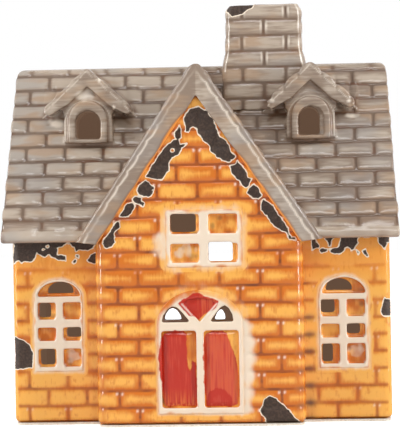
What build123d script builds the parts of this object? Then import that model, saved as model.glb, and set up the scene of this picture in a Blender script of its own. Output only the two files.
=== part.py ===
from build123d import *

import math
import os
from dataclasses import dataclass

# Tealight house: a glazed ceramic cottage, put together from slabs and sprigs of clay,
# with a tealight that stands on its floor and comes out through an arch in the back wall.
# Millimetres. The front looks along -Y, +X is to the right, and z = 0 is the table.
# The origin is the middle of the footprint of the whole house.

# Main block
BLOCK_WIDTH = 160.0
BLOCK_DEPTH = 70.0
WALL = 5.0
BLOCK_CORNER = 3.0

# Bay, which stands out in front of the block under its own gable
BAY_WIDTH = 87.0
BAY_PROJECTION = 12.0
BAY_CORNER = 4.5

# Base
RIM_HEIGHT = 1.0
RIM_INSET = 0.6
RIM_WIDTH = 5.0
RECESS_DEPTH = 0.8
FLOOR_TOP = 5.5

# Main roof, whose pitch follows from the heights of its ridge and of the roll at its eaves
RIDGE_HEIGHT = 154.0
EAVES_HEIGHT = 79.2
ROOF_THICKNESS = 5.0
RIDGE_ROUND = 3.0
EAVES_OVERHANG = 6.5
EAVES_ROLL = 3.0
VERGE_OVERHANG = 3.8
VERGE_DRAFT = 2.0

# Gable roof over the bay
GABLE_BELOW_RIDGE = 3.0
GABLE_BELOW_EAVES = 2.2
GABLE_OVERHANG = 8.2
GABLE_THICKNESS = 5.0
GABLE_ROUND = 3.8
BARGEBOARD_WIDTH = 9.0
BARGEBOARD_DEPTH = 2.0
BARGEBOARD_DROP = 1.0

# Dormers, whose heights are shares of the way from the main roof to just under the ridge
DORMER_OFFSET = 48.0
DORMER_REACH = 22.5
DORMER_WIDTH = 23.0
DORMER_STEP = 3.11
DORMER_BELOW_RIDGE = 3.0
DORMER_WALL_SHARE = 0.4615
DORMER_SPAN = 39.1
DORMER_ROOF_THICKNESS = 4.5
DORMER_ROUND = 2.0
DORMER_OVERHANG = 1.5
DORMER_SILL_SHARE = 0.077
DORMER_LIGHT_SHARE = 0.3785
DORMER_LIGHT_WIDTH = 10.6
DORMER_TRIM_WIDTH = 3.0
DORMER_TRIM_DEPTH = 1.2

# Chimney
CHIMNEY_OFFSET = 28.3
CHIMNEY_WIDTH = 33.4
CHIMNEY_DEPTH = 28.0
CHIMNEY_RISE = 25.0
CHIMNEY_CORNER = 2.5
CHIMNEY_LIP = 3.5
FLUE_WIDTH = 20.0
FLUE_DEPTH = 14.0
FLUE_CORNER = 2.0

# Arch in the back wall
ARCH_WIDTH = 72.0
ARCH_BELOW_EAVES = 1.2
ARCH_CORNER = 20.0

# Wing windows
WING_WINDOW_SHIFT = -1.5
WING_WINDOW_WIDTH = 22.6
WING_WINDOW_SILL = 21.6
WING_WINDOW_BORDER = 2.2
WING_WINDOW_BAR = 3.3
WING_WINDOW_MULLION = 2.9
WING_PANE_HEIGHTS = (7.6, 5.6, 7.1)
WING_ARCH_RISE = 8.6

# Gable window
GABLE_WINDOW_OFFSET = 2.3
GABLE_WINDOW_SILL = 66.0
GABLE_WINDOW_WIDTH = 32.6
GABLE_WINDOW_BORDER = 2.3
GABLE_WINDOW_BAR = 4.2
GABLE_WINDOW_MULLION = 3.9
GABLE_PANE_HEIGHTS = (7.8, 8.1)

# Depth of panes, and how far frames stand proud of their wall
FRAME_PROUD = 0.5
PANE_DEPTH = 2.0

# Holes punched through the clay at the back of a pane: left, right, foot and top, as shares of the pane
PUNCH_SHARES = (0.05, 0.8, 0.08, 0.92)
LUNETTE_PUNCH_SHARE = 0.72

# Door
DOOR_FRAME_WIDTH = 37.2
DOOR_FRAME_FOOT = 4.2
DOOR_SILL = 7.1
DOOR_LEAF_WIDTH = 14.6
DOOR_LEAF_HEIGHT = 31.7
DOOR_MULLION = 3.1
DOOR_TRANSOM = 3.7
DOOR_FRAME_RISE = 14.5
LEAF_DEPTH = 2.0
LEAF_THICKNESS = 3.0
FANLIGHT_RISE = 12.0
FAN_HALF_ANGLE = 41.0
FAN_BAR = 2.0

# Tealight
SEAT_GAP = 0.1
CUP_DIAMETER = 38.4
CUP_HEIGHT = 14.5
CUP_WALL = 0.4
CUP_RIM = 0.5
CUP_EDGE = 1.0
WAX_CLEARANCE = 0.3
WAX_HEIGHT = 11.5
WAX_EDGE = 0.8
SUSTAINER_DIAMETER = 12.0
SUSTAINER_THICKNESS = 0.5
NECK_DIAMETER = 3.0
NECK_HEIGHT = 3.0
WICK_DIAMETER = 1.4
WICK_ABOVE_WAX = 7.0

# Places that follow from the sizes
OVERALL_DEPTH = BARGEBOARD_DEPTH + BAY_PROJECTION + BLOCK_DEPTH + EAVES_OVERHANG
BARGEBOARD_FRONT = -OVERALL_DEPTH / 2
BAY_FRONT = BARGEBOARD_FRONT + BARGEBOARD_DEPTH
BLOCK_FRONT = BAY_FRONT + BAY_PROJECTION
BLOCK_BACK = BLOCK_FRONT + BLOCK_DEPTH
RIDGE_Y = (BLOCK_FRONT + BLOCK_BACK) / 2
BLOCK_SIDE = BLOCK_WIDTH / 2
BAY_SIDE = BAY_WIDTH / 2
VERGE_SIDE = BLOCK_SIDE + VERGE_OVERHANG
EAVES_REACH = BLOCK_DEPTH / 2 + EAVES_OVERHANG - EAVES_ROLL
GABLE_HEIGHT = RIDGE_HEIGHT - GABLE_BELOW_RIDGE
GABLE_FOOT = EAVES_HEIGHT - GABLE_BELOW_EAVES
GABLE_SIDE = BAY_SIDE + GABLE_OVERHANG
CHIMNEY_HEIGHT = RIDGE_HEIGHT + CHIMNEY_RISE
ARCH_TOP = EAVES_HEIGHT - ARCH_BELOW_EAVES
WING_WINDOW_OFFSET = (BAY_SIDE + BLOCK_SIDE) / 2 + WING_WINDOW_SHIFT
DORMER_FRONT = RIDGE_Y - DORMER_REACH
SEAT_HEIGHT = FLOOR_TOP + SEAT_GAP
OVERRUN = 2 * WALL


@dataclass(frozen=True)
class Pitch:
    """A pair of slopes that meet at a rounded ridge, seen end-on as (distance from the ridge, height)."""

    top: float
    angle: float
    ridge_round: float

    @property
    def slope(self):
        """Fall per unit of distance from the ridge."""
        return math.tan(math.radians(self.angle))

    @property
    def cosine(self):
        """Cosine of the pitch."""
        return math.cos(math.radians(self.angle))

    @property
    def sine(self):
        """Sine of the pitch."""
        return math.sin(math.radians(self.angle))

    @property
    def apex(self):
        """Height where the two outer faces would meet without the rounding."""
        return self.top - self.ridge_round + self.ridge_round / self.cosine

    def height(self, distance, depth=0.0):
        """Height of the face that lies depth below the outer face, at a distance from the ridge."""
        return self.apex - depth / self.cosine - self.slope * distance

    def distance(self, height, depth=0.0):
        """Distance from the ridge at which that face has a height."""
        return (self.apex - depth / self.cosine - height) / self.slope

    def half(self, foot_points, depth):
        """Half of the section, on the positive side, down to the given foot points from outside to inside."""
        centre = self.top - self.ridge_round
        top = (0, self.top)
        middle_angle = math.radians(self.angle / 2)
        middle = (
            self.ridge_round * math.sin(middle_angle),
            centre + self.ridge_round * math.cos(middle_angle),
        )
        tangent = (self.ridge_round * self.sine, centre + self.ridge_round * self.cosine)
        edges = ThreePointArc(top, middle, tangent) + Polyline(
            tangent, *foot_points, (0, self.height(0, depth)), top
        )
        return make_face(edges)

    def level_foot(self, foot, depth):
        """Foot points of a half section that is cut level at the height foot."""
        return [(self.distance(foot), foot), (self.distance(foot, depth), foot)]

    def under(self, reach, floor, depth):
        """Section of all that lies under the face at that depth, between two uprights and a floor."""
        return make_face(
            Polyline(
                (-reach, floor),
                (-reach, self.height(reach, depth)),
                (0, self.height(0, depth)),
                (reach, self.height(reach, depth)),
                (reach, floor),
                close=True,
            )
        )


def pitch_down_to(reach, foot, top, ridge_round, foot_round=0.0):
    """Pitch whose outer face touches the ridge's round and comes down to a foot, or to the round of one."""
    rise = top - ridge_round - foot
    angle = math.atan2(rise, reach) + math.asin((ridge_round - foot_round) / math.hypot(rise, reach))
    return Pitch(top, math.degrees(angle), ridge_round)


MAIN = pitch_down_to(EAVES_REACH, EAVES_HEIGHT, RIDGE_HEIGHT, RIDGE_ROUND, EAVES_ROLL)
GABLE = pitch_down_to(GABLE_SIDE, GABLE_FOOT, GABLE_HEIGHT, GABLE_ROUND)

DORMER_FOOT = MAIN.height(DORMER_REACH) + DORMER_STEP
DORMER_TOP = RIDGE_HEIGHT - DORMER_BELOW_RIDGE
DORMER_RISE = DORMER_TOP - DORMER_FOOT
DORMER_ROOF_FOOT = DORMER_FOOT + DORMER_WALL_SHARE * DORMER_RISE
DORMER_SILL = DORMER_FOOT + DORMER_SILL_SHARE * DORMER_RISE
DORMER_LIGHT_HEIGHT = DORMER_LIGHT_SHARE * DORMER_RISE
DORMER = pitch_down_to(DORMER_SPAN / 2, DORMER_ROOF_FOOT, DORMER_TOP, DORMER_ROUND)


def front_prism(sketch, front, back):
    """A sketch drawn in the front view, (x, z), as a solid from y = front to y = back."""
    return extrude(Plane.XZ.offset(-back) * sketch, amount=back - front)


def side_prism(sketch, left, right):
    """A sketch drawn in the side view, (y, z), as a solid from x = left to x = right."""
    return extrude(Plane.YZ.offset(left) * sketch, amount=right - left)


def block(left, right, front, back, foot, top):
    """A box between six faces."""
    centre = ((left + right) / 2, (front + back) / 2, (foot + top) / 2)
    return Pos(*centre) * Box(right - left, back - front, top - foot)


def area(left, right, foot, top):
    """A rectangle in the front view."""
    return Pos((left + right) / 2, (foot + top) / 2) * Rectangle(right - left, top - foot)


def arch_head(centre, width, spring, crown):
    """The part of an arch above its spring: a chord and one arc over the crown."""
    left, right = (centre - width / 2, spring), (centre + width / 2, spring)
    return make_face(Line(left, right) + ThreePointArc(right, (centre, crown), left))


def arched(centre, width, foot, spring, crown):
    """A doorway outline in the front view: upright sides to the spring, then one arc over the crown."""
    sides = area(centre - width / 2, centre + width / 2, foot, spring)
    return sides + arch_head(centre, width, spring, crown)


def round_uprights(solid, radius, places):
    """Rounds the upright edges of a solid that stand at the given (x, y) places."""
    wanted = [
        edge
        for edge in solid.edges().filter_by(Axis.Z)
        if any(
            math.hypot(edge.center().X - x, edge.center().Y - y) < radius / 2 for x, y in places
        )
    ]
    return fillet(wanted, radius)


# What lies under the roofs, to trim walls and roofs against each other
def under_main(depth):
    """All that lies under the main roof's face at that depth."""
    section = Pos(RIDGE_Y, 0) * MAIN.under(BLOCK_DEPTH, 0, depth)
    return side_prism(section, -VERGE_SIDE - OVERRUN, VERGE_SIDE + OVERRUN)


def under_gable(depth):
    """All that lies under the gable roof's face at that depth."""
    return front_prism(GABLE.under(BLOCK_SIDE, 0, depth), BARGEBOARD_FRONT - OVERRUN, RIDGE_Y)


# Base and walls
def footprint(inset):
    """Plan of block and bay, drawn in by an inset."""
    side, bay = BLOCK_SIDE - inset, BAY_SIDE - inset
    front, back, bay_front = BLOCK_FRONT + inset, BLOCK_BACK - inset, BAY_FRONT + inset
    return make_face(
        Polyline(
            (-side, front),
            (-bay, front),
            (-bay, bay_front),
            (bay, bay_front),
            (bay, front),
            (side, front),
            (side, back),
            (-side, back),
            close=True,
        )
    )


def base_slab():
    """Floor between the walls, on an unglazed foot rim that carries the walls."""
    rim = extrude(footprint(RIM_INSET), amount=RIM_HEIGHT)
    side, bay = BLOCK_SIDE - RIM_INSET, BAY_SIDE - RIM_INSET
    front, back, bay_front = BLOCK_FRONT + RIM_INSET, BLOCK_BACK - RIM_INSET, BAY_FRONT + RIM_INSET
    rim = round_uprights(rim, BLOCK_CORNER, [(-side, front), (side, front), (-side, back), (side, back)])
    rim = round_uprights(rim, BAY_CORNER, [(-bay, bay_front), (bay, bay_front)])
    floor = extrude(footprint(WALL), amount=FLOOR_TOP)
    recess = extrude(footprint(RIM_INSET + RIM_WIDTH), amount=RECESS_DEPTH)
    return rim + floor - recess


def bay_front_wall():
    """Gabled front of the bay, open for the door and the gable window."""
    wall = block(-BAY_SIDE, BAY_SIDE, BAY_FRONT, BAY_FRONT + WALL, RIM_HEIGHT, GABLE_HEIGHT)
    wall = round_uprights(wall, BAY_CORNER, [(-BAY_SIDE, BAY_FRONT), (BAY_SIDE, BAY_FRONT)])
    wall = wall & under_gable(GABLE_THICKNESS)
    through = (BAY_FRONT - OVERRUN, BAY_FRONT + WALL + OVERRUN)
    return wall - front_prism(door_outline(), *through) - front_prism(GABLE_WINDOW.outline(), *through)


def bay_cheek(side):
    """Short side of the bay, between its front and the wing wall."""
    inner, outer = sorted((side * (BAY_SIDE - WALL), side * BAY_SIDE))
    wall = block(inner, outer, BAY_FRONT + WALL, BLOCK_FRONT, RIM_HEIGHT, GABLE_HEIGHT)
    return wall & under_gable(GABLE_THICKNESS)


def wing_front_wall(side, window):
    """Front wall of one wing, beside the bay, open for its window."""
    inner, outer = side * (BAY_SIDE - WALL), side * BLOCK_SIDE
    left, right = sorted((inner, outer))
    wall = block(left, right, BLOCK_FRONT, BLOCK_FRONT + WALL, RIM_HEIGHT, RIDGE_HEIGHT)
    wall = round_uprights(wall, BLOCK_CORNER, [(outer, BLOCK_FRONT)])
    wall = wall & under_main(ROOF_THICKNESS)
    return wall - front_prism(window.outline(), BLOCK_FRONT - OVERRUN, BLOCK_FRONT + WALL + OVERRUN)


def side_wall(side):
    """Gable end of the block, from the front wall to the back wall."""
    left, right = sorted((side * (BLOCK_SIDE - WALL), side * BLOCK_SIDE))
    wall = block(left, right, BLOCK_FRONT + WALL, BLOCK_BACK - WALL, RIM_HEIGHT, RIDGE_HEIGHT)
    return wall & under_main(ROOF_THICKNESS)


def arch_outline():
    """Access arch in the back wall, from the floor up, with well rounded shoulders."""
    half, spring = ARCH_WIDTH / 2, ARCH_TOP - ARCH_CORNER
    inner = half - ARCH_CORNER
    edges = (
        Polyline((-half, spring), (-half, FLOOR_TOP), (half, FLOOR_TOP), (half, spring))
        + CenterArc((inner, spring), ARCH_CORNER, 0, 90)
        + Line((inner, ARCH_TOP), (-inner, ARCH_TOP))
        + CenterArc((-inner, spring), ARCH_CORNER, 90, 90)
    )
    return make_face(edges)


def back_wall():
    """Back of the block, with the arch that the tealight goes through."""
    wall = block(-BLOCK_SIDE, BLOCK_SIDE, BLOCK_BACK - WALL, BLOCK_BACK, RIM_HEIGHT, RIDGE_HEIGHT)
    corners = [(-BLOCK_SIDE, BLOCK_BACK), (BLOCK_SIDE, BLOCK_BACK)]
    wall = round_uprights(wall, BLOCK_CORNER, corners)
    wall = wall & under_main(ROOF_THICKNESS)
    return wall - front_prism(arch_outline(), BLOCK_BACK - WALL - OVERRUN, BLOCK_BACK + OVERRUN)


# Windows
def punched(pane):
    """Hole punched in a rectangular pane, off centre as by hand."""
    box = pane.bounding_box()
    left, right, foot, top = PUNCH_SHARES
    return area(
        box.min.X + left * box.size.X,
        box.min.X + right * box.size.X,
        box.min.Y + foot * box.size.Y,
        box.min.Y + top * box.size.Y,
    )


def shrunk(sketch, share):
    """A smaller copy of an outline about the middle of its box."""
    middle = sketch.bounding_box().center()
    return Pos(middle.X, middle.Y) * scale(Pos(-middle.X, -middle.Y) * sketch, by=share)


@dataclass(frozen=True)
class Window:
    """A moulded window: a proud frame with two columns of panes, some pierced and the rest blind."""

    centre: float
    width: float
    sill: float
    border: float
    bar: float
    mullion: float
    pane_heights: tuple
    pierced: tuple
    rise: float
    wall_front: float

    @property
    def head(self):
        """Height of the top of the upper row of panes."""
        bars = self.bar * (len(self.pane_heights) - 1)
        return self.sill + self.border + sum(self.pane_heights) + bars

    @property
    def spring(self):
        """Height at which the frame's arch springs, or its flat top."""
        return self.head + self.mullion if self.rise else self.head + self.border

    def outline(self):
        """The frame's outer edge in the front view."""
        if self.rise:
            return arched(self.centre, self.width, self.sill, self.spring, self.spring + self.rise)
        half = self.width / 2
        return area(self.centre - half, self.centre + half, self.sill, self.spring)

    def panes(self):
        """Each rectangular pane, row by row from the sill, with whether it is pierced."""
        half, post = self.width / 2, self.mullion / 2
        columns = (
            (self.centre - half + self.border, self.centre - post),
            (self.centre + post, self.centre + half - self.border),
        )
        foot = self.sill + self.border
        for height, row_pierced in zip(self.pane_heights, self.pierced):
            for (left, right), open_pane in zip(columns, row_pierced):
                yield area(left, right, foot, foot + height), open_pane
            foot += height + self.bar

    def lunette(self):
        """Arched light over the rows of panes."""
        width = self.width - 2 * self.border
        crown = self.spring + self.rise - self.border
        return arch_head(self.centre, width, self.spring, crown)

    def solid(self):
        """The frame with its panes, some of them punched through."""
        front, back = self.wall_front - FRAME_PROUD, self.wall_front + WALL
        frame = front_prism(self.outline(), front, back)
        blind_back = self.wall_front + PANE_DEPTH
        for pane, open_pane in self.panes():
            frame -= front_prism(pane, front - OVERRUN, blind_back)
            if open_pane:
                frame -= front_prism(punched(pane), front, back + OVERRUN)
        if self.rise:
            lunette = self.lunette()
            frame -= front_prism(lunette, front - OVERRUN, blind_back)
            frame -= front_prism(shrunk(lunette, LUNETTE_PUNCH_SHARE), front, back + OVERRUN)
        return frame


def wing_window(side):
    """Window of one wing: three rows of two under an open lunette, every other pane pierced."""
    return Window(
        centre=side * WING_WINDOW_OFFSET,
        width=WING_WINDOW_WIDTH,
        sill=WING_WINDOW_SILL,
        border=WING_WINDOW_BORDER,
        bar=WING_WINDOW_BAR,
        mullion=WING_WINDOW_MULLION,
        pane_heights=WING_PANE_HEIGHTS,
        pierced=((True, False), (False, True), (True, False)),
        rise=WING_ARCH_RISE,
        wall_front=BLOCK_FRONT,
    )


GABLE_WINDOW = Window(
    centre=GABLE_WINDOW_OFFSET,
    width=GABLE_WINDOW_WIDTH,
    sill=GABLE_WINDOW_SILL,
    border=GABLE_WINDOW_BORDER,
    bar=GABLE_WINDOW_BAR,
    mullion=GABLE_WINDOW_MULLION,
    pane_heights=GABLE_PANE_HEIGHTS,
    pierced=((False, True), (True, False)),
    rise=0,
    wall_front=BAY_FRONT,
)


# Door
LEAF_TOP = DOOR_SILL + DOOR_LEAF_HEIGHT
DOOR_SPRING = LEAF_TOP + DOOR_TRANSOM


def door_outline():
    """Outer edge of the door frame in the front view."""
    return arched(0, DOOR_FRAME_WIDTH, DOOR_FRAME_FOOT, DOOR_SPRING, DOOR_SPRING + DOOR_FRAME_RISE)


def leaf_area(side):
    """One door leaf in the front view."""
    left, right = sorted((side * DOOR_MULLION / 2, side * (DOOR_MULLION / 2 + DOOR_LEAF_WIDTH)))
    return area(left, right, DOOR_SILL, LEAF_TOP)


def fanlight_area():
    """The whole light over the transom."""
    width = DOOR_MULLION + 2 * DOOR_LEAF_WIDTH
    return arch_head(0, width, DOOR_SPRING, DOOR_SPRING + FANLIGHT_RISE)


def fan_wedge(tip):
    """Wedge that opens upwards from a tip on the centre line."""
    top = tip + 2 * DOOR_FRAME_RISE
    half = (top - tip) * math.tan(math.radians(FAN_HALF_ANGLE))
    return make_face(Polyline((0, tip), (half, top), (-half, top), close=True))


def fan_panel_area():
    """Blind middle of the fanlight, between the two slanting bars."""
    return fanlight_area() & fan_wedge(DOOR_SPRING + FAN_BAR / 2)


def fan_side_areas():
    """The two open lights at either side of the slanting bars."""
    bar_drop = FAN_BAR / math.sin(math.radians(FAN_HALF_ANGLE))
    return fanlight_area() - fan_wedge(DOOR_SPRING + FAN_BAR / 2 - bar_drop)


def door_frame():
    """Cream surround of the door: posts, mullion, transom, slanting bars and arch."""
    front, back = BAY_FRONT - FRAME_PROUD, BAY_FRONT + WALL
    frame = front_prism(door_outline(), front, back)
    openings = [leaf_area(-1), leaf_area(1), fan_panel_area(), fan_side_areas()]
    for opening in openings:
        frame -= front_prism(opening, front - OVERRUN, back + OVERRUN)
    return frame


def leaf(side):
    """One red door leaf, set back in the frame."""
    front = BAY_FRONT + LEAF_DEPTH
    return front_prism(leaf_area(side), front, front + LEAF_THICKNESS)


def fanlight_panel():
    """Red panel in the middle of the fanlight."""
    front = BAY_FRONT + LEAF_DEPTH
    return front_prism(fan_panel_area(), front, front + LEAF_THICKNESS)


# Roofs
def between_verges():
    """All that lies between the two verges, which draw in a little from the eaves up to the ridge."""
    top_side = VERGE_SIDE - VERGE_DRAFT
    outline = make_face(
        Polyline(
            (-VERGE_SIDE, 0),
            (-VERGE_SIDE, EAVES_HEIGHT),
            (-top_side, RIDGE_HEIGHT),
            (top_side, RIDGE_HEIGHT),
            (VERGE_SIDE, EAVES_HEIGHT),
            (VERGE_SIDE, 0),
            close=True,
        )
    )
    return front_prism(outline, BARGEBOARD_FRONT, OVERALL_DEPTH / 2)


def main_section():
    """Half section of the main roof, with the roll at its eaves."""
    centre = (EAVES_REACH, MAIN.height(EAVES_REACH, EAVES_ROLL))
    outside = (centre[0] + EAVES_ROLL * MAIN.sine, centre[1] + EAVES_ROLL * MAIN.cosine)
    inside = (
        outside[0] - ROOF_THICKNESS * MAIN.sine,
        outside[1] - ROOF_THICKNESS * MAIN.cosine,
    )
    return MAIN.half([outside, inside], ROOF_THICKNESS) + Pos(*centre) * Circle(EAVES_ROLL)


def front_slope(left, right):
    """Front slope of the main roof between two uprights, open under the gable roof."""
    section = Pos(RIDGE_Y, 0) * mirror(main_section(), about=Plane.YZ)
    slope = side_prism(section, left, right) & between_verges()
    return slope - under_gable(GABLE_THICKNESS)


def roof_front_left():
    """Left half of the front slope, pierced behind its dormer."""
    return front_slope(-VERGE_SIDE, 0) - dormer_light(-1)


def roof_front_right():
    """Right half of the front slope, pierced behind its dormer and round the chimney."""
    return front_slope(0, VERGE_SIDE) - dormer_light(1) - chimney_core()


def roof_back():
    """Back slope of the main roof, let in round the chimney."""
    slope = side_prism(Pos(RIDGE_Y, 0) * main_section(), -VERGE_SIDE, VERGE_SIDE) & between_verges()
    return slope - chimney_core()


def gable_half(side, depth, foot):
    """Half section of a band along one rake of the gable, down to a level foot."""
    section = GABLE.half(GABLE.level_foot(foot, depth), depth)
    return section if side > 0 else mirror(section, about=Plane.YZ)


def gable_slope(side):
    """One slope of the gable roof, from the bargeboard back to the main roof."""
    slope = front_prism(gable_half(side, GABLE_THICKNESS, GABLE_FOOT), BAY_FRONT, RIDGE_Y)
    return slope - under_main(0)


def bargeboard(side):
    """Broad band along one rake of the gable, proud of the brickwork."""
    section = gable_half(side, BARGEBOARD_WIDTH, GABLE_FOOT - BARGEBOARD_DROP)
    return front_prism(section, BARGEBOARD_FRONT, BAY_FRONT)


# Dormers
def light_outline(grow):
    """Round-headed light of a dormer, drawn about x = 0 and widened by grow."""
    width = DORMER_LIGHT_WIDTH + 2 * grow
    spring = DORMER_SILL + DORMER_LIGHT_HEIGHT - DORMER_LIGHT_WIDTH / 2
    return arched(0, width, DORMER_SILL, spring, spring + width / 2)


def dormer_light(side):
    """The light of one dormer, carried straight back through the roof."""
    light = front_prism(light_outline(0), DORMER_FRONT - OVERRUN, RIDGE_Y)
    return Pos(side * DORMER_OFFSET, 0, 0) * light


def dormer_body(side):
    """Little house front of a dormer, with its round-headed light."""
    half = DORMER_WIDTH / 2
    body = block(-half, half, DORMER_FRONT, RIDGE_Y, DORMER_FOOT, DORMER_TOP)
    body = body & front_prism(
        DORMER.under(DORMER_WIDTH, 0, DORMER_ROOF_THICKNESS), DORMER_FRONT - OVERRUN, RIDGE_Y
    )
    body = Pos(side * DORMER_OFFSET, 0, 0) * body
    return body - dormer_light(side) - under_main(0)


def dormer_roof(side):
    """Both slopes of a dormer's roof, as one piece that sits on the main roof."""
    half = DORMER.half(
        DORMER.level_foot(DORMER_ROOF_FOOT, DORMER_ROOF_THICKNESS), DORMER_ROOF_THICKNESS
    )
    section = half + mirror(half, about=Plane.YZ)
    roof = front_prism(section, DORMER_FRONT - DORMER_OVERHANG, RIDGE_Y)
    return Pos(side * DORMER_OFFSET, 0, 0) * roof - under_main(0)


def dormer_trim(side):
    """Raised moulding round a dormer's light."""
    ring = light_outline(DORMER_TRIM_WIDTH) - light_outline(0)
    trim = front_prism(ring, DORMER_FRONT - DORMER_TRIM_DEPTH, DORMER_FRONT)
    return Pos(side * DORMER_OFFSET, 0, 0) * trim


# Chimney
def chimney_core():
    """The chimney's outer shape, from inside the roof up, before its top is rounded."""
    plan = Pos(CHIMNEY_OFFSET, RIDGE_Y) * RectangleRounded(CHIMNEY_WIDTH, CHIMNEY_DEPTH, CHIMNEY_CORNER)
    foot = MAIN.height(CHIMNEY_DEPTH / 2, ROOF_THICKNESS) - OVERRUN
    return extrude(Plane.XY.offset(foot) * plan, amount=CHIMNEY_HEIGHT - foot)


def chimney_stack():
    """Chimney with a rounded top and an open flue down into the roof space."""
    stack = chimney_core()
    stack = fillet(stack.faces().sort_by(Axis.Z)[-1].edges(), CHIMNEY_LIP)
    flue = Pos(CHIMNEY_OFFSET, RIDGE_Y) * RectangleRounded(FLUE_WIDTH, FLUE_DEPTH, FLUE_CORNER)
    stack -= extrude(flue, amount=CHIMNEY_HEIGHT + OVERRUN)
    return stack - under_main(ROOF_THICKNESS) - dormer_light(1)


# Tealight, centred under the ridge
CANDLE_FOOT = SEAT_HEIGHT + CUP_WALL + SEAT_GAP
WAX_TOP = CANDLE_FOOT + WAX_HEIGHT


def disc(radius, foot, height):
    """An upright cylinder on the tealight's axis."""
    base = Pos(0, RIDGE_Y, foot)
    return base * Cylinder(radius, height, align=(Align.CENTER, Align.CENTER, Align.MIN))


def tealight_cup():
    """Thin metal cup with a rolled rim."""
    radius = CUP_DIAMETER / 2
    outside = disc(radius - CUP_RIM / 2, SEAT_HEIGHT, CUP_HEIGHT)
    outside = fillet(outside.edges().sort_by(Axis.Z)[0], CUP_EDGE)
    rim_foot = SEAT_HEIGHT + CUP_HEIGHT - 2 * CUP_RIM
    rim = disc(radius, rim_foot, 2 * CUP_RIM)
    rim = fillet(rim.edges().filter_by(GeomType.CIRCLE), CUP_RIM / 2)
    return outside + rim - disc(wax_radius() + WAX_CLEARANCE, SEAT_HEIGHT + CUP_WALL, CUP_HEIGHT)


def wax_radius():
    """Radius of the wax, loose in its cup."""
    return CUP_DIAMETER / 2 - CUP_RIM / 2 - CUP_WALL - WAX_CLEARANCE


def tealight_wax():
    """Wax cast round the sustainer and the wick."""
    wax = disc(wax_radius(), CANDLE_FOOT, WAX_HEIGHT)
    wax = fillet(wax.edges().sort_by(Axis.Z)[-1], WAX_EDGE)
    wax -= disc(SUSTAINER_DIAMETER / 2, CANDLE_FOOT, SUSTAINER_THICKNESS)
    wax -= disc(NECK_DIAMETER / 2, CANDLE_FOOT, SUSTAINER_THICKNESS + NECK_HEIGHT)
    return wax - disc(WICK_DIAMETER / 2, CANDLE_FOOT, WAX_HEIGHT)


def wick_sustainer():
    """Metal foot that holds the wick upright."""
    foot = disc(SUSTAINER_DIAMETER / 2, CANDLE_FOOT, SUSTAINER_THICKNESS)
    neck = disc(NECK_DIAMETER / 2, CANDLE_FOOT, SUSTAINER_THICKNESS + NECK_HEIGHT)
    hole = disc(WICK_DIAMETER / 2, CANDLE_FOOT + SUSTAINER_THICKNESS, NECK_HEIGHT)
    return foot + neck - hole


def wick():
    """Wick from the sustainer's foot to above the wax."""
    foot = CANDLE_FOOT + SUSTAINER_THICKNESS
    return disc(WICK_DIAMETER / 2, foot, WAX_TOP - foot + WICK_ABOVE_WAX)


def pieces():
    """Every piece by name."""
    left_window, right_window = wing_window(-1), wing_window(1)
    stack = chimney_core()
    return {
        "base_slab": base_slab(),
        "bay_front_wall": bay_front_wall(),
        "bay_left_cheek": bay_cheek(-1),
        "bay_right_cheek": bay_cheek(1),
        "left_front_wall": wing_front_wall(-1, left_window),
        "right_front_wall": wing_front_wall(1, right_window),
        "left_side_wall": side_wall(-1),
        "right_side_wall": side_wall(1),
        "back_wall": back_wall(),
        "left_window_frame": left_window.solid(),
        "right_window_frame": right_window.solid(),
        "gable_window_frame": GABLE_WINDOW.solid(),
        "door_frame": door_frame(),
        "door_leaf_left": leaf(-1),
        "door_leaf_right": leaf(1),
        "fanlight_panel": fanlight_panel(),
        "roof_front_left": roof_front_left(),
        "roof_front_right": roof_front_right(),
        "roof_back": roof_back(),
        "gable_roof_left": gable_slope(-1),
        "gable_roof_right": gable_slope(1) - stack,
        "bargeboard_left": bargeboard(-1),
        "bargeboard_right": bargeboard(1),
        "left_dormer": dormer_body(-1),
        "left_dormer_roof": dormer_roof(-1),
        "left_dormer_trim": dormer_trim(-1),
        "right_dormer": dormer_body(1) - stack,
        "right_dormer_roof": dormer_roof(1) - stack,
        "right_dormer_trim": dormer_trim(1),
        "chimney_stack": chimney_stack(),
        "tealight_cup": tealight_cup(),
        "tealight_wax": tealight_wax(),
        "wick_sustainer": wick_sustainer(),
        "wick": wick(),
    }


def main():
    """Writes one STEP file for each piece."""
    os.makedirs("parts", exist_ok=True)
    for name, shape in pieces().items():
        export_step(shape, f"parts/{name}.step")


main()
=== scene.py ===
"""A glazed pottery tealight house: its clay, glazes and studio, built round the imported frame."""

import logging
import math
from dataclasses import dataclass, field
from enum import Enum
from typing import Any, Callable, Sequence

import bpy
import numpy as np
from mathutils import Matrix, Vector


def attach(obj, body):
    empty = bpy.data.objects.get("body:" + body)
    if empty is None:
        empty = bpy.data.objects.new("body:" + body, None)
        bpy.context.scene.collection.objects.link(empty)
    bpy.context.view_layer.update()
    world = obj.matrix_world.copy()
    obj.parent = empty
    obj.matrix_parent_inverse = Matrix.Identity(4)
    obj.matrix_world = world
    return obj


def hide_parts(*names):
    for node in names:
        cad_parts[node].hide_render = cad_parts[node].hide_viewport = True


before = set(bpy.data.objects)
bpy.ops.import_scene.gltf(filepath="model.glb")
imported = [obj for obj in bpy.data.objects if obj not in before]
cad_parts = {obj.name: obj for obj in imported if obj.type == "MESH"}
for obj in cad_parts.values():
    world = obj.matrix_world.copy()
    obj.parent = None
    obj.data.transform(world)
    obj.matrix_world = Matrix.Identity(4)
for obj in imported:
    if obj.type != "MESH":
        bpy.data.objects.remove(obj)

LOG = logging.getLogger("tealight_house")
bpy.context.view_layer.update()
MM = 0.001
Solid = bpy.types.Object
Finish = bpy.types.Material
Values = np.ndarray
Point = tuple[float, float]
Box = tuple[float, float, float, float]
Colour = tuple[float, float, float, float]


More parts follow.
